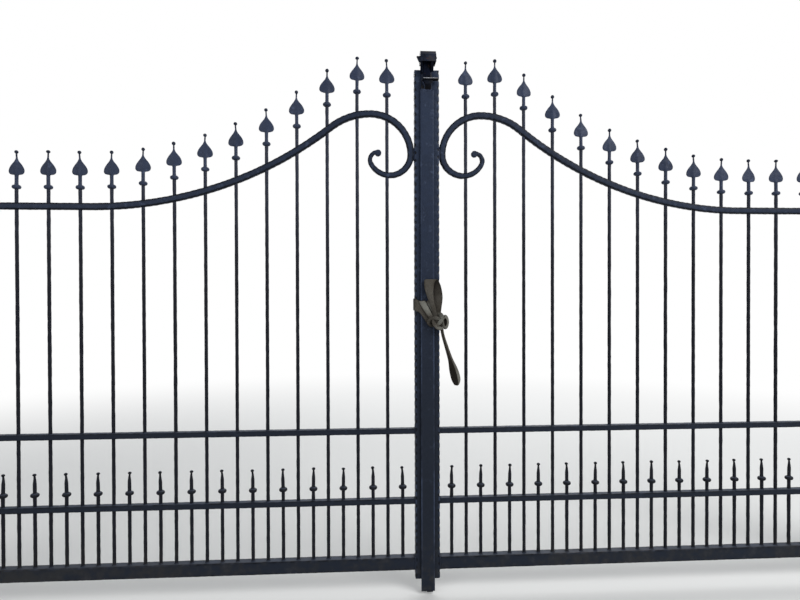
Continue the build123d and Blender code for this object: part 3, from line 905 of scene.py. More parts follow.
# %% Dog bar finials
DOG_BODY_END = KNOP_HEIGHT + 36 * mm
DOG_TAPER_END = DOG_BODY_END + 20 * mm
DOG_BALL_FOOT = DOG_TAPER_END + 11 * mm
DOG_TAPER_RADIUS, DOG_NECK_RADIUS, DOG_BALL_NECK = 4.6 * mm, 3.9 * mm, 3.8 * mm


def dog(name, ball_radius, squash, lean):
    """A dog bar's finial: a knop, a piece of bar, a taper and a ball."""
    rings = list(knop_rings())
    for part in (0.2, 0.5, 0.8, 1.0):
        rings.append(ring(between(KNOP_HEIGHT, DOG_BODY_END, part), bar_radius * 0.99))
    for part in (0.2, 0.5, 0.8, 1.0):
        rings.append(ring(between(DOG_BODY_END, DOG_TAPER_END, part),
                          between(bar_radius, DOG_TAPER_RADIUS, part)))
    rings.append(ring(DOG_BALL_FOOT - 3 * mm, DOG_NECK_RADIUS, lean=lean * 0.5))
    middle = DOG_BALL_FOOT + ball_radius * squash * 0.85
    rings.extend(ball_rings(middle, ball_radius, DOG_BALL_NECK, squash, lean))
    return finial_mesh(name, rings, DOG_TAPER_END)


print("foot of the dog bar's ball:", round(DOG_BALL_FOOT / mm, 1), "mm up")

# %% [markdown]
# ## Variants of the finials
#
# No two forged pieces are alike, so each kind has four variants that differ in the size, the
# flatness and the lean of the ball. They are kept in a collection outside the scene, for a tree
# to pick from.

# %% Variants
# Radius of the ball in mm, its height as a share of its width, and its lean in mm
SPADE_BALLS = {"spade_plain": (7.5, 1.0, 0.0), "spade_low_ball": (7.8, 0.78, 0.6),
               "spade_left_ball": (7.3, 0.92, -1.2), "spade_small_ball": (7.0, 1.0, 0.8)}
DOG_BALLS = {"dog_plain": (7.1, 0.84, 0.0), "dog_low_ball": (7.5, 0.68, -0.8),
             "dog_left_ball": (7.0, 0.8, -1.6), "dog_right_ball": (7.2, 0.76, 1.4)}


def variant_group(name, make, balls):
    """A collection of variants that isn't part of the scene itself."""
    group = bpy.data.collections.new(name)
    for label, (radius, squash, lean) in balls.items():
        mesh = make(label, radius * mm, squash, lean * mm)
        group.objects.link(bpy.data.objects.new(label, mesh))
    return group


spade_group = variant_group("spade_variants", spade, SPADE_BALLS)
dog_group = variant_group("dog_variants", dog, DOG_BALLS)

# %% [markdown]
# ## A tree that sets finials
#
# Finials repeat, so a tree stands one variant on each point, leans and turns it a little by
# fixed seeds, makes the instances real, and hammers the result, so that even two copies of one
# variant come out different.


# %% Tree that sets finials on bars
def finial_tree(name, group, finish):
    """A tree that stands variants of a group on points and hammers them."""
    tree = ShapeTree(name, Lean=0.02, Turn=0.1, Spread=0.015, Depth=0.0008, Seed=1)
    picked = tree.node("GeometryNodeCollectionInfo", inputs={
        "Collection": group, "Separate Children": True, "Reset Children": True})
    lean, turn, spread = (tree.size(label) for label in ("Lean", "Turn", "Spread"))
    seed = tree.size("Seed")

    def draw(kind, low, high, own_seed, output=0):
        settings = {"data_type": kind}
        return tree.node("FunctionNodeRandomValue", settings,
                         {**low, **high, "Seed": own_seed}, output)

    tilt = draw("FLOAT_VECTOR", {0: tree.vector(lean * -1, lean * -1, turn * -1)},
                {1: tree.vector(lean, lean, turn)}, seed)
    scale = draw("FLOAT", {2: 1 - spread}, {3: spread + 1}, seed + 7, output=1)
    which = draw("INT", {4: 0}, {5: len(group.objects) - 1}, seed + 3, output=2)
    standing = tree.node("GeometryNodeInstanceOnPoints", inputs={
        "Points": tree.lines, "Instance": picked, "Pick Instance": True, "Instance Index": which,
        "Rotation": tree.node("FunctionNodeEulerToRotation", inputs={0: tilt}), "Scale": scale})
    real = tree.node("GeometryNodeRealizeInstances", inputs={0: standing})
    blows = tree.noise(tree.place, 110.0, 1.0) + tree.noise(tree.place, 47.0, 0.0) - 1.03
    tree.close(tree.push_out(real, blows * tree.size("Depth")), finish)
    return tree


spade_tree = finial_tree("spade_finials", spade_group, forged_paint)
dog_tree = finial_tree("dog_finials", dog_group, bar_paint)

# %% [markdown]
# ## Finials on their bars
#
# Each finial of the fixed model gives one point, the middle of its foot. The dog bars' finials
# lean more, because they are thinner and get knocked.

# %% Finials
SPADE_LEAN, DOG_LEAN = 0.015, 0.03
FIRST_SEED = 11

for number, side_name in enumerate(SIDES):
    for kind, tree, lean in (("spade_finials", spade_tree, SPADE_LEAN),
                             ("dog_finials", dog_tree, DOG_LEAN)):
        runs = []
        for box in solid_boxes(f"{side_name}_{kind}"):
            middle = middle_of(box)
            runs.append(([(middle.x, middle.y, box[0].z)], False))
        grow(f"{side_name}_forged_{kind}", tree, line_mesh(runs), f"{side_name}_leaf",
             f"{side_name}_{kind}", Seed=FIRST_SEED + number, Lean=lean)

# %% [markdown]
# ## Sections of bar stock
#
# Stiles, rails and the scroll are square and flat stock with round corners. Their section is an
# outline with a mark at each point that says how near it is to a corner, because the corners are
# beaten and rubbed more than the flats.

# %% Sections
CORNER_STEPS = 3
FLAT_SHARES = (0.14, 0.5, 0.86)
FLAT_MARKS = (0.3, 0.0, 0.3)


def section(width, depth, corner):
    """Outline of a bar with round corners, and a mark for each point: 1 at the corners."""
    turns = []
    for quarter, (side_u, side_v) in enumerate(((1, 1), (-1, 1), (-1, -1), (1, -1))):
        middle = Vector((side_u * (width / 2 - corner), side_v * (depth / 2 - corner)))
        angles = [QUARTER_TURN * (quarter + i / CORNER_STEPS) for i in range(CORNER_STEPS + 1)]
        turns.append([middle + corner * Vector((math.cos(a), math.sin(a))) for a in angles])
    outline, marks = [], []
    for quarter, turn in enumerate(turns):
        outline.extend(turn)
        marks.extend([1.0] * len(turn))
        after = turns[(quarter + 1) % 4][0]
        outline.extend(turn[-1].lerp(after, share) for share in FLAT_SHARES)
        marks.extend(FLAT_MARKS)
    return outline, marks


print("points in a section:", len(section(0.04, 0.04, 0.004)[0]))

# %% [markdown]
# ## Sweeping a section
#
# A section is swept along a path in the gate's plane, and each point remembers how far along
# the path it lies. A curve with a bevel would give the same skin, but not these values, and the
# next tree beats the corners by them. Two phases keep the notches of the four corners out of
# step.

# %% Sweeps
SIDE_PHASES = 2.6, 1.7


def sweep(name, paths):
    """Skins sections along paths: points in x and z, a section, a y and a height for each."""
    points, faces, values = [], [], {"along": [], "corner": [], "phase": []}
    for path, (outline, marks), y, heights in paths:
        path = [Vector((x, y, z)) for x, z in path]
        sides = len(outline)
        start = len(points)
        walked = 0.0
        for i, place in enumerate(path):
            ahead = (path[min(i + 1, len(path) - 1)] - path[max(i - 1, 0)]).normalized()
            across = Vector((-ahead.z, 0, ahead.x))
            walked += (place - path[i - 1]).length if i else 0.0
            height = heights[i] if heights else 1.0
            for (u, v), mark in zip(outline, marks):
                points.append(place + across * u * height + Vector((0, v, 0)))
                values["along"].append(walked)
                values["corner"].append(mark)
                values["phase"].append(sum(p for p, side in zip(SIDE_PHASES, (u, v)) if side > 0))
        for low in range(start, start + (len(path) - 1) * sides, sides):
            for j in range(sides):
                k = (j + 1) % sides
                faces.append((low + j, low + sides + j, low + sides + k, low + k))
        faces.append(tuple(range(start, start + sides)))
        faces.append(tuple(reversed(range(len(points) - sides, len(points)))))
    mesh = bpy.data.meshes.new(name)
    mesh.from_pydata(points, [], faces)
    for label, amounts in values.items():
        keep_values(mesh, label, amounts)
    return mesh


print("phases of a bar's corners:", [0, *SIDE_PHASES, sum(SIDE_PHASES)])

# %% [markdown]
# ## Straight bars
#
# A stile or a level rail fills a box of the fixed model, so the box gives its path, its section
# and its place in depth. The path is cut into short steps, or there would be no points for the
# hammer to move.


# %% Bars that fill a box
def straight(start, end, step):
    """Evenly spaced points from one place to another, in x and z."""
    count = max(2, round(math.dist(start, end) / step))
    return [tuple(between(a, b, i / count) for a, b in zip(start, end)) for i in range(count + 1)]


def upright_bar(low, high, corner, step):
    """Path, section and y of an upright bar that fills a box."""
    middle = (low + high) / 2
    path = straight((middle.x, low.z), (middle.x, high.z), step)
    return path, section(high.x - low.x, high.y - low.y, corner), middle.y, None


def level_bar(low, high, corner, step):
    """Path, section and y of a level bar that fills a box."""
    middle = (low + high) / 2
    path = straight((low.x, middle.z), (high.x, middle.z), step)
    return path, section(high.z - low.z, high.y - low.y, corner), middle.y, None


print("points on a metre of stile:", len(straight((0, 0), (0, 1), 0.0045)))

# %% [markdown]
# ## Beaten edges
#
# The smith notched the corners of the stock at even steps. The tree digs the notches by a sine
# of the distance along the bar, lets them drift by a noise, hammers the faces, and stores how
# deep each notch is, so that the paint can darken it with a painted shade; the Shade size adds
# painted shade along the corners as well. Notches under 1 mm get no shade, and those over 2 mm
# get all of it.

# %% Tree that beats the edges
stock_tree = ShapeTree("beaten_stock", Dent=0.0, Pitch=0.031, Blows=0.0004, Shade=0.0)
walked, corner, phase = (stock_tree.named(name) for name in ("along", "corner", "phase"))
drift = stock_tree.noise(stock_tree.vector(phase, 0.0, walked), 9.0, 1.0) * 5.0
wave = walked * FULL_TURN / stock_tree.size("Pitch") + phase + drift
notch = stock_tree.clamp(stock_tree.maths("SINE", wave)) ** 1.4 * corner
blows = (stock_tree.noise(stock_tree.place, 58.0, 1.0)
         + stock_tree.noise(stock_tree.place, 21.0, 0.0) - 1.05)
depth_share = stock_tree.clamp((stock_tree.size("Dent") - 0.001) * 1000)
uneven = stock_tree.noise(stock_tree.place, 62.0, 2.0) * 2.0
# Painted shade along the corners, mottled by a noise.
edge_shade = corner * stock_tree.size("Shade") * uneven
marked = stock_tree.stored(stock_tree.lines, "notch", notch * corner * depth_share + edge_shade)
depth = blows * stock_tree.size("Blows") - notch * stock_tree.size("Dent")
stock_tree.close(stock_tree.push_out(marked, depth), flat_paint)

# %% [markdown]
# ## Stiles
#
# The stiles are the two uprights that end a leaf. They are the thickest stock and have the
# deepest notches, which make the wavy edge that is seen from far away.

# %% Stiles
STILE_KINDS = ("meeting_stile", "hinge_stile")
STILE_CORNER, STILE_STEP, STILE_DENT = 4 * mm, 4.5 * mm, 0.0024

for side_name in SIDES:
    names = names_of(side_name, STILE_KINDS)
    stiles = [upright_bar(*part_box(name), STILE_CORNER, STILE_STEP) for name in names]
    grow(f"{side_name}_beaten_stiles", stock_tree, sweep("stiles", stiles),
         f"{side_name}_leaf", *names, Dent=STILE_DENT)

# %% [markdown]
# ## Level rails
#
# Three level rails are punched for the bars. Their edges are bruised rather than notched, so the
# dents are shallow and a painted shade comes from a noise along the corners.

# %% Level rails
RAIL_KINDS = ("bottom_rail", "dog_rail", "mid_rail")
RAIL_CORNER, RAIL_STEP = 2 * mm, 9 * mm

for side_name in SIDES:
    names = names_of(side_name, RAIL_KINDS)
    rails = [level_bar(*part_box(name), RAIL_CORNER, RAIL_STEP) for name in names]
    grow(f"{side_name}_level_rails", stock_tree, sweep("rails", rails), f"{side_name}_leaf",
         *names, Dent=0.0004, Blows=0.0008, Shade=0.3)

# %% [markdown]
# ## The stop bar
#
# The stop bar covers the gap between the leaves. It is a T of two flats: a flange in front and a
# web that runs back between the meeting stiles.

# %% Stop bar
STOP_THICKNESS = 6 * mm
FLANGE_CORNER, WEB_CORNER = 1.8 * mm, 1 * mm

low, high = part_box("stop_bar")
web_x = left_stile_box[1].x
stop_parts = [
    upright_bar(low, Vector((high.x, low.y + STOP_THICKNESS, high.z)), FLANGE_CORNER, STILE_STEP),
    upright_bar(Vector((web_x, low.y + STOP_THICKNESS / 2, low.z)),
                Vector((web_x + STOP_THICKNESS, high.y, high.z)), WEB_CORNER, STILE_STEP * 4),
]
grow("beaten_stop_bar", stock_tree, sweep("stop_bar", stop_parts), "left_leaf", "stop_bar",
     Dent=0.0007, Pitch=0.044)

# %% [markdown]
# ## Sizes of the top rail
#
# The top rail is one long bar. It leaves the hinge stile level, sweeps up, turns over a crown,
# comes down beside the meeting stile and closes in a scroll that gets thinner and ends in a
# blunt snub. Its arcs touch each other and the stile, so a few radii and angles fix them all,
# and the places of their middles follow.

# %% Sizes of the top rail
RAIL_Z = 1554 * mm
SWEEP_RADIUS, SWEEP_ANGLE = 1508 * mm, math.radians(38.3)
SHOULDER_RADIUS = 257 * mm
CROWN_RADIUS = 161 * mm
EYE_RADIUS, EYE_ANGLE = 85 * mm, math.radians(154)
CURL_RADIUS, CURL_ANGLE = 31.5 * mm, math.radians(118)
RAIL_HEIGHT, EYE_END_HEIGHT, CURL_END_HEIGHT = 27.5 * mm, 20 * mm, 13.5 * mm
SCROLL_STEP = 5 * mm
WELD_GAP = 0.2 * mm
SNUB_RADIUS = 13 * mm
SNUB_SINK = 4 * mm

stile_reach = gate_middle - left_stile_box[0].x
hinge_reach = gate_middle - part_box("left_hinge_stile")[1].x
crown_reach = stile_reach + RAIL_HEIGHT / 2 + WELD_GAP + CROWN_RADIUS
crown_z = RAIL_Z + (SWEEP_RADIUS + SHOULDER_RADIUS) * (1 - math.cos(SWEEP_ANGLE))
eye_z = crown_z - CROWN_RADIUS
level_reach = crown_reach + (SWEEP_RADIUS + SHOULDER_RADIUS) * math.sin(SWEEP_ANGLE)
print("crown height:", round(crown_z, 4), "scroll's middle:", round(eye_z, 4))

# %% [markdown]
# ## Path of the top rail
#
# The path is written for one side, as a distance from the gate's middle and a height. Each arc
# starts where the one before it ends, so its own first point is left out. A list beside the path
# says how thin the bar is drawn at each point.


# %% Path of the top rail
def arc(centre, radius, start, turn):
    """Points along an arc, without its first one; angles in radians."""
    count = max(3, round(abs(turn) * radius / SCROLL_STEP))
    return [around(centre, radius, start + turn * i / count) for i in range(1, count + 1)]


def top_rail_path():
    """The middle line from the hinge stile to the scroll's end, how thick the bar is at each of
    its points, as a share, and the middle of the snub."""
    path = straight((hinge_reach, RAIL_Z), (level_reach, RAIL_Z), SCROLL_STEP * 1.6)
    path += arc((level_reach, RAIL_Z + SWEEP_RADIUS), SWEEP_RADIUS, -QUARTER_TURN, -SWEEP_ANGLE)
    path += arc((crown_reach, crown_z - SHOULDER_RADIUS), SHOULDER_RADIUS,
                QUARTER_TURN - SWEEP_ANGLE, SWEEP_ANGLE)
    path += arc((crown_reach, eye_z), CROWN_RADIUS, QUARTER_TURN, QUARTER_TURN)
    heights = [1.0] * len(path)
    eye = (crown_reach - CROWN_RADIUS + EYE_RADIUS, eye_z)
    end_angle = math.pi + EYE_ANGLE
    curl = around(eye, EYE_RADIUS - CURL_RADIUS, end_angle)
    eye_arc = arc(eye, EYE_RADIUS, math.pi, EYE_ANGLE)
    curl_arc = arc(curl, CURL_RADIUS, end_angle, CURL_ANGLE)
    for part, full, thin in ((eye_arc, RAIL_HEIGHT, EYE_END_HEIGHT),
                             (curl_arc, EYE_END_HEIGHT, CURL_END_HEIGHT)):
        path += part
        heights += [between(full, thin, (i + 1) / len(part)) / RAIL_HEIGHT
                    for i in range(len(part))]
    return path, heights, around(curl, CURL_RADIUS - SNUB_SINK, end_angle + CURL_ANGLE)


rail_path, rail_heights, snub_centre = top_rail_path()
print("top rail points:", len(rail_path))

# %% [markdown]
# ## The snub
#
# The scroll ends in a snub, a blunt round end that is wider than the drawn bar. It is a short
# stack of rings round an axis through the gate, with a rolled rim on both faces.

# %% Rings of the snub
SNUB_SIDES = 28
SNUB_RIM = 4 * mm
SNUB_FLAT = 0.55
RIM_ANGLES = (90, 60, 30, 0)


def snub_rings(centre, half_depth):
    """Rings of the snub round an axis along y."""
    profile = [(SNUB_FLAT, 1.0)]
    for angle in (math.radians(degrees) for degrees in RIM_ANGLES):
        profile.append((1 - (SNUB_RIM / SNUB_RADIUS) * (1 - math.cos(angle)),
                        1 - (SNUB_RIM / half_depth) * (1 - math.sin(angle))))
    profile += [(share, -y) for share, y in reversed(profile)]
    rings = []
    for share, y in profile:
        places = [around(centre, SNUB_RADIUS * share, a) for a in turn_angles(SNUB_SIDES)]
        rings.append([(x, y * half_depth, z) for x, z in places])
    return rings


print("snub:", round(2 * SNUB_RADIUS / mm), "mm wide")

# %% [markdown]
# ## Scroll rails
#
# The path is mirrored for the other leaf, which turns its faces inside out, so the normals are
# worked out again. The snub is set on the end of the scroll before the whole is hammered.

# %% Scroll rails
SCROLL_CORNER = 4 * mm

for side_name, side in SIDES.items():
    low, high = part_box(f"{side_name}_scroll_rail")
    path = [(gate_middle + side * reach, z) for reach, z in rail_path]
    outline = section(RAIL_HEIGHT, high.y - low.y, SCROLL_CORNER)
    work = bmesh.new()
    work.from_mesh(sweep("scroll", [(path, outline, 0.0, rail_heights)]))
    add_stack(work, snub_rings((gate_middle + side * snub_centre[0], snub_centre[1]), high.y))
    bmesh.ops.recalc_face_normals(work, faces=work.faces)
    # Shade darkens the scroll's corners as a painted shade.
    grow(f"{side_name}_forged_scroll", stock_tree, mesh_from(work, "scroll"),
         f"{side_name}_leaf", f"{side_name}_scroll_rail", Dent=0.0012, Pitch=0.023,
         Blows=0.0011, Shade=0.42)

# %% [markdown]
# ## Weld beads
#
# The rails are welded to the stiles, the bars to the rails, and the catch to the stop bar. A bead
# is a thin rope of drops, so its tree cuts a line into short steps, remembers how far along each
# step lies, sweeps a circle, and lets the skin swell and sink with that distance.

# %% Tree of the weld beads
BEAD_SIDES = 7
DROP_HEIGHT = 0.00035

weld_tree = ShapeTree("weld_bead", Radius=0.003, Step=0.0016, Ripple=0.0048, Lumps=0.0006)
weld_curve = weld_tree.cut(weld_tree.size("Step"))
weld_run = weld_tree.node("GeometryNodeSplineParameter", output="Length")
weld_skin = weld_tree.tube(weld_tree.stored(weld_curve, "bead_run", weld_run), BEAD_SIDES)
wave = weld_tree.named("bead_run") * FULL_TURN / weld_tree.size("Ripple")
drops = weld_tree.maths("SINE", wave) * DROP_HEIGHT
lumps = (weld_tree.noise(weld_tree.place, 130.0, 1.0) - 0.5) * 2.0 * weld_tree.size("Lumps")
weld_tree.close(weld_tree.push_out(weld_skin, drops + lumps), forged_paint)

# %% [markdown]
# ## Lines of the welds
#
# A line is open along a seam and closed round a bar, round its end or round its foot. It needs
# only a few points, because the tree cuts it finely by itself.

# %% Seams and loops
BAR_LOOP_POINTS = 14


def seam(*points):
    return points, False


def loop_round(box, z):
    """A level ring round a bar."""
    x = middle_of(box).x
    return [(*around((x, 0.0), bar_radius, a), z) for a in turn_angles(BAR_LOOP_POINTS)], True


def loop_at_end(x, low, high):
    """The four corners of a bar's end at this x."""
    return [(x, low.y, low.z), (x, high.y, low.z), (x, high.y, high.z), (x, low.y, high.z)], True


def loop_at_foot(low, high, z):
    """The four corners of an upright box at this z."""
    return [(low.x, low.y, z), (high.x, low.y, z), (high.x, high.y, z), (low.x, high.y, z)], True


print("points round a bar:", BAR_LOOP_POINTS)

# %% [markdown]
# ## Heavy beads of a leaf
#
# The heavy beads are at the ends of the rails, where the scroll touches the meeting stile, and
# along the barrels of the hinges. Their lines come from the boxes of those nodes.

# %% Lines of the joints
RAIL_WELD_INSET = Vector((0, 1.5 * mm, 1.5 * mm))
SCROLL_WELD_HALF = 24 * mm
BARREL_WELD_Y = 10 * mm


def joint_runs(side_name, side):
    """Lines of the heavier beads: the ends of the rails, the scroll and the hinges."""
    runs = []
    for name in names_of(side_name, RAIL_KINDS):
        low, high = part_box(name)
        runs += [loop_at_end(x, low + RAIL_WELD_INSET, high - RAIL_WELD_INSET)
                 for x in (low.x, high.x)]
    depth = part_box(f"{side_name}_scroll_rail")[1].y
    half = Vector((0, depth, RAIL_HEIGHT / 2))
    middle = Vector((0, 0, RAIL_Z))
    runs.append(loop_at_end(gate_middle + side * hinge_reach, middle - half, middle + half))
    x = gate_middle + side * stile_reach
    for y in (-depth + 2 * mm, depth - 2 * mm):
        runs.append(seam((x, y, eye_z - SCROLL_WELD_HALF), (x, y, eye_z),
                         (x, y, eye_z + SCROLL_WELD_HALF)))
    low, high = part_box(f"{side_name}_hinge_stile")
    face = low.x if side < 0 else high.x
    for low, high in solid_boxes(f"{side_name}_hinge_barrels"):
        runs += [seam((face, y, low.z + 3 * mm), (face, y, high.z - 3 * mm))
                 for y in (-BARREL_WELD_Y, BARREL_WELD_Y)]
    return runs


print("heavy beads of the left leaf:", len(joint_runs("left", SIDES["left"])))

# %% [markdown]
# ## Thin beads of a leaf
#
# Thin beads stand round the feet of the bars, and the thinnest where the bars come out of the
# punched rails, above and below.


# %% Lines round the bars
def foot_runs(side_name):
    """Rings where the bars stand on the bottom rail."""
    boxes = [box for name in names_of(side_name, ("tall_bars", "dog_bars"))
             for box in solid_boxes(name)]
    return [loop_round(box, box[0].z) for box in boxes]


def crossing_runs(side_name):
    """Rings where the bars come out of the punched rails, above and below."""
    runs = []
    for kind, rails in (("tall_bars", ("dog_rail", "mid_rail")), ("dog_bars", ("dog_rail",))):
        levels = [corner.z for name in names_of(side_name, rails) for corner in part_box(name)]
        for box in solid_boxes(f"{side_name}_{kind}"):
            runs += [loop_round(box, z) for z in levels]
    return runs


print("rings round the bars of a leaf:", len(foot_runs("left")) + len(crossing_runs("left")))

# %% [markdown]
# ## Welds of the leaves
#
# The three weights of bead differ in their radius and in how finely their line is cut. The
# lumps grow with the radius.

# %% Welds of the leaves
for side_name, side in SIDES.items():
    for label, runs, radius, step in (
            ("rail_welds", joint_runs(side_name, side), 0.0032, 0.0016),
            ("foot_welds", foot_runs(side_name), 0.0027, 0.0026),
            ("crossing_welds", crossing_runs(side_name), 0.0014, 0.0026)):
        grow(f"{side_name}_{label}", weld_tree, line_mesh(runs), f"{side_name}_leaf",
             Radius=radius, Step=step, Lumps=radius * 0.2)

# %% [markdown]
# ## Rounded copies of plain steel
#
# Posts, plates, hinges and the catch keep their exact shape, but no steel edge is razor sharp. A
# copy of each fixed mesh is merged, its flat faces are joined again, and a Bevel modifier with
# hardened normals rounds the edges, so that each one catches a line of light.

# %% Rounding
ROUND_STEPS = 3
SHARP_ANGLE, FLAT_ANGLE = math.radians(35), math.radians(1)


def rounded(name, mesh, finish, radius, body, *nodes):
    """Fastens a mesh with its finish and with its sharp edges rounded."""
    mesh.shade_smooth()
    mesh.materials.append(finish)
    piece = show(name, mesh)
    rounding = piece.modifiers.new("rounding", "BEVEL")
    rounding.width = radius
    rounding.segments = ROUND_STEPS
    rounding.limit_method = "ANGLE"
    rounding.angle_limit = SHARP_ANGLE
    rounding.harden_normals = True
    settle(piece)
    fasten(piece, body, *nodes)


def rounded_copy(name, finish, radius, body, *nodes):
    """Copies of fixed nodes in one mesh, with their sharp edges rounded, in their place."""
    whole = bmesh.new()
    for node_name in nodes:
        single = merged_copy(node_name)
        bmesh.ops.dissolve_limit(single, angle_limit=FLAT_ANGLE, verts=single.verts,
                                 edges=single.edges)
        whole.from_mesh(mesh_from(single, node_name + "_copy"))
    rounded(name, mesh_from(whole, name), finish, radius, body, *nodes)


print("edges sharper than", round(math.degrees(SHARP_ANGLE)), "degrees are rounded")

# %% [markdown]
# ## Posts and hinges
#
# The posts stand on bolted plates under flat caps and carry the brackets and pins. The barrels
# turn with the leaves. Posts are rolled tube with a wide round edge, the rest is cut plate.

# %% Posts, plates, hinges and stop foot
ROUNDED = (  # label, finish, radius in mm, body and kinds of node
    ("rounded_post", post_paint, 5, "posts", ("post",)),
    ("rounded_plate", post_paint, 1.5, "posts", ("base_plate", "post_cap")),
    ("rounded_hinges", forged_paint, 1.2, "posts", ("hinge_brackets", "hinge_pins")),
    ("rounded_barrels", forged_paint, 1.2, "{}_leaf", ("hinge_barrels",)),
)
for side_name in SIDES:
    for label, finish, radius, body, kinds in ROUNDED:
        rounded_copy(f"{side_name}_{label}", finish, radius * mm, body.format(side_name),
                     *names_of(side_name, kinds))
rounded_copy("rounded_stop_foot", flat_paint, 1.5 * mm, "left_leaf", "stop_foot")

# %% [markdown]
# ## The catch
#
# A folded sheet hood closes over the top of the right leaf, on a plate that stands on the stop
# bar, with a small shelf and its gusset below. All of it is thin stock, so its edges are
# rounded by little more than a millimetre.

# %% Hood, plate and shelf
# The shelf and its gusset take a steel painted dark as shade.
for node_name, finish, radius in (("catch_hood", catch_steel, 1.1),
                                  ("catch_plate", catch_steel, 1.4),
                                  ("catch_shelf", gusset_steel, 1.2)):
    rounded_copy("worn_" + node_name, finish, radius * mm, "left_leaf", node_name)

hood_low, hood_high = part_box("catch_hood")
shelf_low, shelf_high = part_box("catch_shelf")
plate_low, plate_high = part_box("catch_plate")
front = plate_low.y
print("front of the catch's plate:", round(front, 4))

# %% [markdown]
# ## The bolt's head
#
# The bolt that holds the hood's cheek shows a domed head on the right. A dome is a stack of
# rings again, this time along the gate.

# %% Bolt head
BOLT_RADIUS, BOLT_HEIGHT, BOLT_SIDES = 7 * mm, 6 * mm, 20
BOLT_DROP = 22 * mm

bolt_foot = hood_high.x - 0.3 * mm
bolt_middle = (hood_low.y + hood_high.y) / 2, hood_high.z - BOLT_DROP
rings = []
for part in (0.0, 0.25, 0.5, 0.75, 0.95):
    wide = BOLT_RADIUS * math.sqrt(1 - part * part)
    rings.append([(bolt_foot + BOLT_HEIGHT * part, *around(bolt_middle, wide, a))
                  for a in turn_angles(BOLT_SIDES)])
dome = bmesh.new()
add_stack(dome, rings)
bmesh.ops.recalc_face_normals(dome, faces=dome.faces)
bolt = show("catch_bolt_head", mesh_from(dome, "catch_bolt_head"))
bolt.data.shade_smooth()
bolt.data.materials.append(catch_steel)
fasten(bolt, "left_leaf")

# %% [markdown]
# ## Plates
#
# The inside of the catch isn't in the fixed model. It is made of flat plates, and each plate is
# one face that is pushed straight through its thickness.


# %% Plates
def plates_mesh(name, plates):
    """Flat plates, each given by the corners of one face and by its thickness in y or x."""
    work = bmesh.new()
    for corners, through in plates:
        near = [work.verts.new(Vector(c)) for c in corners]
        far = [work.verts.new(Vector(c) + Vector(through)) for c in corners]
        work.faces.new(near)
        work.faces.new(list(reversed(far)))
        for i, vert in enumerate(near):
            j = (i + 1) % len(near)
            work.faces.new((vert, far[i], far[j], near[j]))
    bmesh.ops.recalc_face_normals(work, faces=work.faces)
    return mesh_from(work, name)


def face_across(left, right, foot, top, y):
    """Corners of an upright face across the gate."""
    return [(left, y, foot), (right, y, foot), (right, y, top), (left, y, top)]


print("depth of the hood before the plate:", round((front - hood_low.y) / mm, 1), "mm")

# %% [markdown]
# ## Inside the catch
#
# Under the hood a bracket and two cheeks run down to the plate. They lie in shade, so they have
# the darkest of the catch's finishes, a painted shade. The lip of the shelf is a thin bare strip
# across the front, rubbed bare and painted light as a highlight as well.

# %% Bracket, cheeks and lip
BRACKET_THICKNESS = 4 * mm


def cheek(x, drop):
    """Corners of a cheek that runs from the hood's foot down to the plate, over this drop."""
    top, foot = hood_low.z + 1.5 * mm, hood_low.z - drop
    return [(x, hood_low.y + 5 * mm, top), (x, front, top), (x, front, foot),
            (x, front - 5 * mm, foot), (x, hood_low.y + 9 * mm, hood_low.z - 0.6 * drop)]


bracket_face = face_across(gate_middle - 15 * mm, gate_middle + 13 * mm, shelf_high.z,
                           hood_low.z + 20 * mm, front - BRACKET_THICKNESS)
bracket = [
    (bracket_face, (0, BRACKET_THICKNESS, 0)),
    (cheek(gate_middle - 27.7 * mm, 42 * mm), (8 * mm, 0, 0)),
    (cheek(gate_middle + 14 * mm, 34 * mm), (11 * mm, 0, 0)),
]
rounded("catch_bracket", plates_mesh("catch_bracket", bracket), shade_steel, 1.2 * mm,
        "left_leaf")
# The lip is light as bare steel and as a painted highlight.
lip_face = face_across(shelf_low.x + 1 * mm, shelf_high.x - 1 * mm, shelf_high.z - 3.2 * mm,
                       shelf_high.z + 0.3 * mm, shelf_low.y - 0.2 * mm)
rounded("catch_shelf_lip", plates_mesh("catch_shelf_lip", [(lip_face, (0, 5 * mm, 0))]),
        bare_highlit_steel, 0.9 * mm, "left_leaf")

# %% [markdown]
# ## Welds of the catch
#
# The catch is welded along the edges of its plate, under the shelf and round the gusset. All
# these seams lie on the plate's front, so a seam is given by its places in x and z alone.

# %% Welds of the catch
PLATE_INSET, SHELF_INSET = 2 * mm, 3 * mm
# Places round the gusset in mm from the gate's middle, above the shelf's top or its underside
GUSSET_SEAM = ((-17, -5, True), (-9, 18, False), (-8, 0, False), (14, 0, False),
               (15, 18, False), (23, -5, True))


def front_seam(*places):
    """A seam on the plate's front through places in x and z."""
    return seam(*((x, front, z) for x, z in places))


def level_seam(low, high, inset, z):
    """A level seam across a box, with its ends this far inside."""
    return front_seam((low.x + inset, z), (high.x - inset, z))


catch_runs = [
    level_seam(plate_low, plate_high, 0.0, plate_low.z),
    level_seam(plate_low, plate_high, PLATE_INSET, hood_low.z + 40 * mm),
    level_seam(shelf_low, shelf_high, SHELF_INSET, shelf_high.z),
    front_seam(*((gate_middle + x * mm, (shelf_high if top else shelf_low).z + z * mm)
                 for x, z, top in GUSSET_SEAM)),
]
grow("catch_welds", weld_tree, line_mesh(catch_runs), "left_leaf", Radius=0.0028)

# %% [markdown]
# ## Welds of the posts
#
# A heavy bead runs round the foot of each post, and one above and one below each lug that
# carries a pin.

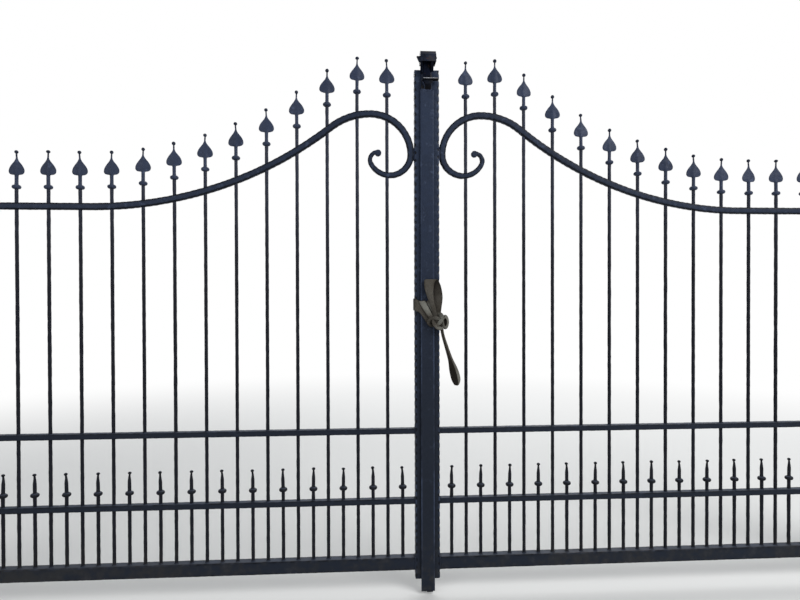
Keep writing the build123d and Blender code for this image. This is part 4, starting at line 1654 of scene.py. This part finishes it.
# %% Welds of the posts
post_runs = []
for side_name, side in SIDES.items():
    low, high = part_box(f"{side_name}_post")
    post_runs.append(loop_at_foot(low, high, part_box(f"{side_name}_base_plate")[1].z))
    face = high.x if side < 0 else low.x
    for lug_low, lug_high in solid_boxes(f"{side_name}_hinge_brackets"):
        post_runs += [seam((face, lug_low.y + 2 * mm, z), (face, lug_high.y - 2 * mm, z))
                      for z in (lug_low.z, lug_high.z)]
grow("post_welds", weld_tree, line_mesh(post_runs), "posts", Radius=0.0035)

# %% [markdown]
# ## Webbing cloth
#
# A strip of faded webbing is tied round the middle stile. Its weave is far smaller than any
# mesh could hold, so it is drawn by two sine waves along and across the strip, read from the
# strip's own UV map in metres. A value kept on the mesh paints shade into the folds and hollows
# where light doesn't reach, and paints a highlight on the folds that stand out, where it is below
# zero.

# %% Webbing cloth
THREADS_A_METRE = 520.0
CLOTH_DARK, CLOTH_LIGHT = rgb(59, 54, 47), rgb(91, 88, 82)
THREAD_SHADE = rgb(42, 37, 32)
FOLD_HIGHLIGHT, CREASE_SHADE = rgb(140, 141, 134), rgb(22, 18, 14)
CLOTH_GLOSS = 0.2

cloth = Finish("faded_webbing", CLOTH_GLOSS)
across, along, _ = cloth.parts(cloth.node("ShaderNodeUVMap", {"uv_map": "strip"}))
crease = cloth.attribute("crease")
warp = cloth.maths("SINE", across * (FULL_TURN * THREADS_A_METRE))
turned = along * (FULL_TURN * THREADS_A_METRE) + cloth.maths("SIGN", warp) * QUARTER_TURN
weave = cloth.clamp(warp * 0.25 + cloth.maths("SINE", turned) * 0.25 + 0.5)
stain = cloth.noise(cloth.place, 24.0, 4.0, 0.6)
fluff = cloth.noise(cloth.place, 900.0, 2.0, 0.6)
colour = cloth.mix(cloth.clamp(0.5 + (stain - 0.5) * 2.2), CLOTH_DARK, CLOTH_LIGHT)
# Painted shade where the value is above zero, painted highlight where it is below.
for mask, tone in (((1 - weave) * 0.35 + (fluff - 0.5) * 0.4, THREAD_SHADE),
                   (crease * -1, FOLD_HIGHLIGHT), (crease, CREASE_SHADE)):
    colour = cloth.mix(cloth.clamp(mask), colour, tone)
cloth.relief(weave * 0.0005 + fluff * 0.0002, 0.8)
cloth.wire(Base_Color=colour, Roughness=0.93)
webbing = cloth.material
print("cloth:", webbing.name)

# %% [markdown]
# ## Strips of webbing
#
# A strip is a surface between two edges, so each piece is described by how its two edges run
# through space, and a smooth curve through those few points fills in the rest. The strip isn't
# free cloth: it is pulled tight round steel, so it needs no simulation.


# %% Smooth runs
def smooth_run(points, count):
    """Evenly many points on a smooth curve through a few chosen ones."""
    points = [Vector(p) for p in points]
    ends = [points[0] * 2 - points[1], *points, points[-1] * 2 - points[-2]]
    run = []
    for i in range(count + 1):
        where = (len(points) - 1) * i / count
        part = min(int(where), len(points) - 2)
        t = where - part
        a, b, c, d = ends[part:part + 4]
        run.append(0.5 * (2 * b + (c - a) * t + (2 * a - 5 * b + 4 * c - d) * t * t
                          + (3 * b - 3 * c + d - a) * t ** 3))
    return run


print("smooth steps from 0 to 1:", [round(p.x, 2) for p in smooth_run([(0, 0, 0), (1, 0, 0)], 4)])

# %% [markdown]
# ## A surface between two edges
#
# The surface is crowned a little, as cloth is under tension. Its value of painted shade is given
# along the strip and rises at the two selvedges, the woven edges, where the cloth turns away from
# the light.

# %% Strips between two edges
STRIP_COLUMNS = 10
STRIP_STEP = 3 * mm
FEWEST_STEPS = 6
SELVEDGE_SHADE = 0.45


def strip_mesh(name, first_edge, second_edge, shade_and_light_values, crown=0.0):
    """A strip between two edges, in mm from the gate's middle, with painted light and shade at
    each point.
    """
    length = sum(math.dist(a, b) for a, b in zip(first_edge, first_edge[1:])) * mm
    count = max(FEWEST_STEPS, round(length / STRIP_STEP))
    first, second = smooth_run(first_edge, count), smooth_run(second_edge, count)
    shade = smooth_run([(c, 0, 0) for c in shade_and_light_values], count)
    shares = [j / STRIP_COLUMNS for j in range(STRIP_COLUMNS + 1)]
    points, values, walked = [], [], [0.0]
    for i, (a, b) in enumerate(zip(first, second)):
        if i:
            walked.append(walked[-1] + ((a + b) / 2 - (first[i - 1] + second[i - 1]) / 2).length)
        for share in shares:
            place = a.lerp(b, share) - Vector((0, crown * 4 * share * (1 - share), 0))
            points.append((gate_middle + place.x * mm, place.y * mm, place.z * mm))
            # Painted shade at the two selvedges.
            values.append(shade[i].x + SELVEDGE_SHADE * (abs(share - 0.5) * 2) ** 7)
    wide = len(shares)
    faces = [(i * wide + j, i * wide + j + 1, (i + 1) * wide + j + 1, (i + 1) * wide + j)
             for i in range(count) for j in range(STRIP_COLUMNS)]
    mesh = bpy.data.meshes.new(name)
    mesh.from_pydata(points, [], faces)
    keep_values(mesh, "crease", values)
    uv = mesh.uv_layers.new(name="strip")
    for loop in mesh.loops:
        i, j = divmod(loop.vertex_index, wide)
        width = (first[i] - second[i]).length * mm
        uv.data[loop.index].uv = (shares[j] * width, walked[i] * mm)
    return mesh


print("columns in a strip:", STRIP_COLUMNS)

# %% [markdown]
# ## From strips to webbing
#
# Strips that belong together are joined where their points meet. A Solidify modifier gives them
# the real thickness, and one level of subdivision rounds the edges.

# %% Webbing pieces
WEBBING_THICKNESS = 2.2 * mm
MEETING_DISTANCE = 0.01 * mm


def webbing_piece(name, strips, node_name):
    """Joins strips, gives them the webbing's thickness and round edges, and fastens them."""
    joined = bmesh.new()
    for strip in strips:
        joined.from_mesh(strip)
    bmesh.ops.remove_doubles(joined, verts=joined.verts, dist=MEETING_DISTANCE)
    piece = show(name, mesh_from(joined, name))
    piece.data.materials.append(webbing)
    wall = piece.modifiers.new("wall", "SOLIDIFY")
    wall.thickness = WEBBING_THICKNESS
    wall.offset = 0.0
    rounding = piece.modifiers.new("rounding", "SUBSURF")
    rounding.levels = rounding.render_levels = 1
    settle(piece)
    piece.data.shade_smooth()
    fasten(piece, "left_leaf", node_name, slot="webbing")


print("webbing:", round(WEBBING_THICKNESS / mm, 1), "mm thick")

# %% [markdown]
# ## The wrap
#
# One band passes round the stile and down to the knot, with two folds over its front that are
# paler by a painted highlight. All places of the webbing are in mm, and their x is counted from
# the gate's middle.

# %% The wrap round the stile
# The last list of each strip is its painted shade, and a painted highlight below zero.
wrap_band = strip_mesh(
    "wrap_band",
    [(-6, 14, 1184), (-8, 22, 1186), (-30, 22.6, 1188), (-50, 22.4, 1190), (-53, 12, 1190),
     # Neighbouring rings are joined by four-sided faces and the two ends are closed, which makes a
     # solid form. The neck and the ball are marked for a painted shade, which darkens them.
     (-53, -8, 1190), (-53, -27, 1189), (-47, -33, 1188), (-34, -33.5, 1180), (-18, -34, 1160),
     (2, -36, 1132), (20, -38, 1112)],
    [(-6, 14, 1142), (-8, 22, 1141), (-30, 22.6, 1141), (-50, 22.4, 1142), (-53, 12, 1142),
     (-53, -8, 1142), (-53, -27, 1141), (-47, -33, 1139), (-34, -33.5, 1134), (-20, -34, 1116),
     (-4, -36, 1092), (10, -38, 1074)],
    [0.3, 0.2, 0.1, 0.15, 0.2, 0.1, 0.15, 0.1, 0.12, 0.2, 0.35, 0.5], crown=1.0,
)
fold_wide = strip_mesh(
    "fold_wide",
    [(-10, -34, 1181), (-8, -37, 1178), (2, -40, 1158), (13, -42, 1136), (24, -43, 1116)],
    [(-38, -34, 1180), (-36, -36.5, 1176), (-22, -38.5, 1152), (-8, -40.5, 1130), (6, -41, 1108)],
    [0.2, -0.3, -0.5, -0.3, 0.2], crown=3.0,
)
fold_narrow = strip_mesh(
    "fold_narrow",
    [(5, -34, 1184), (8, -37, 1174), (20, -40, 1150), (33, -43, 1124)],
    [(-6, -34, 1180), (-3, -37, 1172), (9, -40, 1150), (22, -43, 1120)],
    [0.5, -0.2, -0.3, 0.2], crown=2.5,
)
webbing_piece("webbing_wrap_strips", [wrap_band, fold_wide, fold_narrow], "webbing_wrap")

# %% [markdown]
# ## The loop
#
# A wide loop stands up from the knot, turns over at its top and comes down behind itself. It is
# open at the top, so its inside shows, darkened by painted shade.

# %% The loop that stands up from the knot
loop_strip = strip_mesh(
    "loop_strip",
    [(20, -42, 1112), (13, -46, 1150), (-4, -49, 1196), (-15, -50, 1232), (-16, -49, 1256),
     (-12, -44, 1266), (4, -39, 1262), (21, -37, 1236), (19, -37, 1196), (18, -37, 1150),
     (22, -38, 1112)],
    [(40, -44, 1112), (32, -50, 1150), (22, -53, 1196), (22, -53, 1230), (26, -51, 1254),
     (36, -45, 1266), (44, -40, 1260), (54, -38, 1236), (60, -38, 1196), (55, -38, 1150),
     (50, -39, 1112)],
    [0.5, 0.15, 0.1, 0.0, 0.0, 0.15, 0.95, 0.8, 0.5, 0.45, 0.8], crown=2.0,
)
webbing_piece("webbing_loop_strip", [loop_strip], "webbing_loop")

# %% [markdown]
# ## The knot
#
# A knot in flat webbing is the same strip passing over and under itself, pulled tight. A
# three-lobed closed curve has the right crossings, so a strip that is folded to half its width
# follows that curve. It leans outwards and faces the street, and is paler on its right by a
# painted highlight.

# %% Lobes of the knot
KNOT_TURNS = 120
KNOT_HALF = 12.8
KNOT_WIDE, KNOT_HIGH, KNOT_DEEP = 10.4, 9.8, 6.0
KNOT_TURN = math.radians(84)
KNOT_MIDDLE = Vector((34, -46, 1099))
KNOT_LEAN, KNOT_FACING = 0.8, -0.65


def knot_lobes():
    """A closed strip along a three-lobed knot."""
    turned = Matrix.Rotation(-KNOT_TURN, 3, "Y")
    first, second, shade_and_light_values = [], [], []
    for t in turn_angles(KNOT_TURNS):
        lobes = turned @ Vector((math.sin(t) + 2 * math.sin(2 * t), math.sin(3 * t),
                                 math.cos(t) - 2 * math.cos(2 * t)))
        away = Vector((-lobes.x * KNOT_WIDE, lobes.y * KNOT_DEEP, lobes.z * KNOT_HIGH))
        place = KNOT_MIDDLE + away
        outward = Vector((away.x, 0, away.z)).normalized()
        tilt = (outward * KNOT_LEAN + Vector((0, KNOT_FACING, 0))).normalized()
        first.append(place + tilt * KNOT_HALF)
        second.append(place - tilt * KNOT_HALF)
        # Painted highlight on the knot's right, painted shade on its left.
        shade_and_light_values.append(-0.05 - 0.4 * outward.x + 0.15 * math.sin(3 * t))
    for run in (first, second, shade_and_light_values):
        run.append(run[0])
    return strip_mesh("knot_strip", first, second, shade_and_light_values, crown=1.0)


knot_strip = knot_lobes()
print("points on the knot:", len(knot_strip.vertices))

# %% [markdown]
# ## Core, ring and eye of the knot
#
# Behind the lobes lies a core painted dark as shade, so that no light comes through between
# them. The last turn stands out on the right as a ring, paler by a painted highlight, with an eye
# in it that is a sheet painted dark as shade.

# %% Core, ring and eye of the knot
RING_STEPS = 24
RING_Z = 1096
# Middle in x, half width, y and half height of the ring's outer and inner edge
RING_EDGES = (69.5, 14.5, -42, 29), (68.5, 6.0, -53, 15)
EYE_SIDES, EYE_Y, EYE_HALF = (61, 76), -47, 17

knot_core = strip_mesh(
    "knot_core",
    [(14, -39, 1108), (28, -42, 1118), (44, -43, 1120), (58, -42, 1114), (66, -40, 1104)],
    [(14, -39, 1092), (28, -42, 1080), (44, -43, 1076), (58, -42, 1082), (66, -40, 1094)],
    [0.9, 0.8, 0.8, 0.85, 0.9], crown=2.0,
)
ring_angles = [math.pi + FULL_TURN * i / RING_STEPS for i in range(RING_STEPS + 1)]
ring_edges = [[(x + wide * math.cos(a), y, RING_Z + high * math.sin(a)) for a in ring_angles]
              for x, wide, y, high in RING_EDGES]
knot_ring = strip_mesh("knot_ring", *ring_edges, [-0.3] * len(ring_angles), crown=3.0)
eye_edges = [[(x, EYE_Y, RING_Z + z) for z in (-EYE_HALF, 0, EYE_HALF)] for x in EYE_SIDES]
knot_eye = strip_mesh("knot_eye", *eye_edges, [1.0] * 3)
webbing_piece("webbing_knot_strip", [knot_strip, knot_core, knot_ring, knot_eye], "webbing_knot")

# %% [markdown]
# ## The tail
#
# The free end hangs from the knot, narrow at first and wide at its end. It is folded lengthwise
# like a gutter, so it is two strips that share an edge, one darkened by painted shade and one
# paler by a painted highlight.

# %% Tail
tail_edges = [
    [(46, -44, 1092), (52.5, -42, 1050), (65.5, -42, 1000), (80, -43, 945), (85, -43, 903),
     (94, -43, 864), (106, -42, 843)],
    [(53, -47, 1092), (59, -46, 1050), (73, -47, 1000), (91, -49, 950), (110, -50, 900),
     (119, -49, 860), (117, -45, 841)],
    [(60, -44, 1092), (64.5, -43, 1050), (80.5, -43, 1000), (98, -43, 952), (121, -43, 904),
     (130, -43, 867), (124, -42, 844)],
]
# The first strip is darkened by painted shade, the second turns paler towards its end by a painted
# highlight.
tail_shade_and_light = [0.5, 0.6, 0.65, 0.85, 1.0, 1.0, 0.85], [0.5, 0.4, 0.15, -0.05, -0.2, -0.3, -0.1]
tail = [strip_mesh("tail_strip", *tail_edges[i:i + 2], tail_shade_and_light[i], crown=0.5)
        for i in range(2)]
webbing_piece("webbing_tail_strip", tail, "webbing_tail")

# %% [markdown]
# ## Finish of the fixed nodes
#
# The fixed nodes get their finish too, although each one has a dressed piece in its place, so
# that nothing is left without a material.

# %% Finish of the fixed nodes
for node_name, node in frame["nodes"].items():
    finish = flat_paint
    if node_name.startswith("catch"):
        finish = catch_steel
    elif "post" in node_name or "plate" in node_name:
        finish = post_paint
    node.data.materials.clear()
    node.data.materials.append(finish)
print("painted nodes:", len(frame["nodes"]))

# %% [markdown]
# ## The end
#
# The scene is finished.
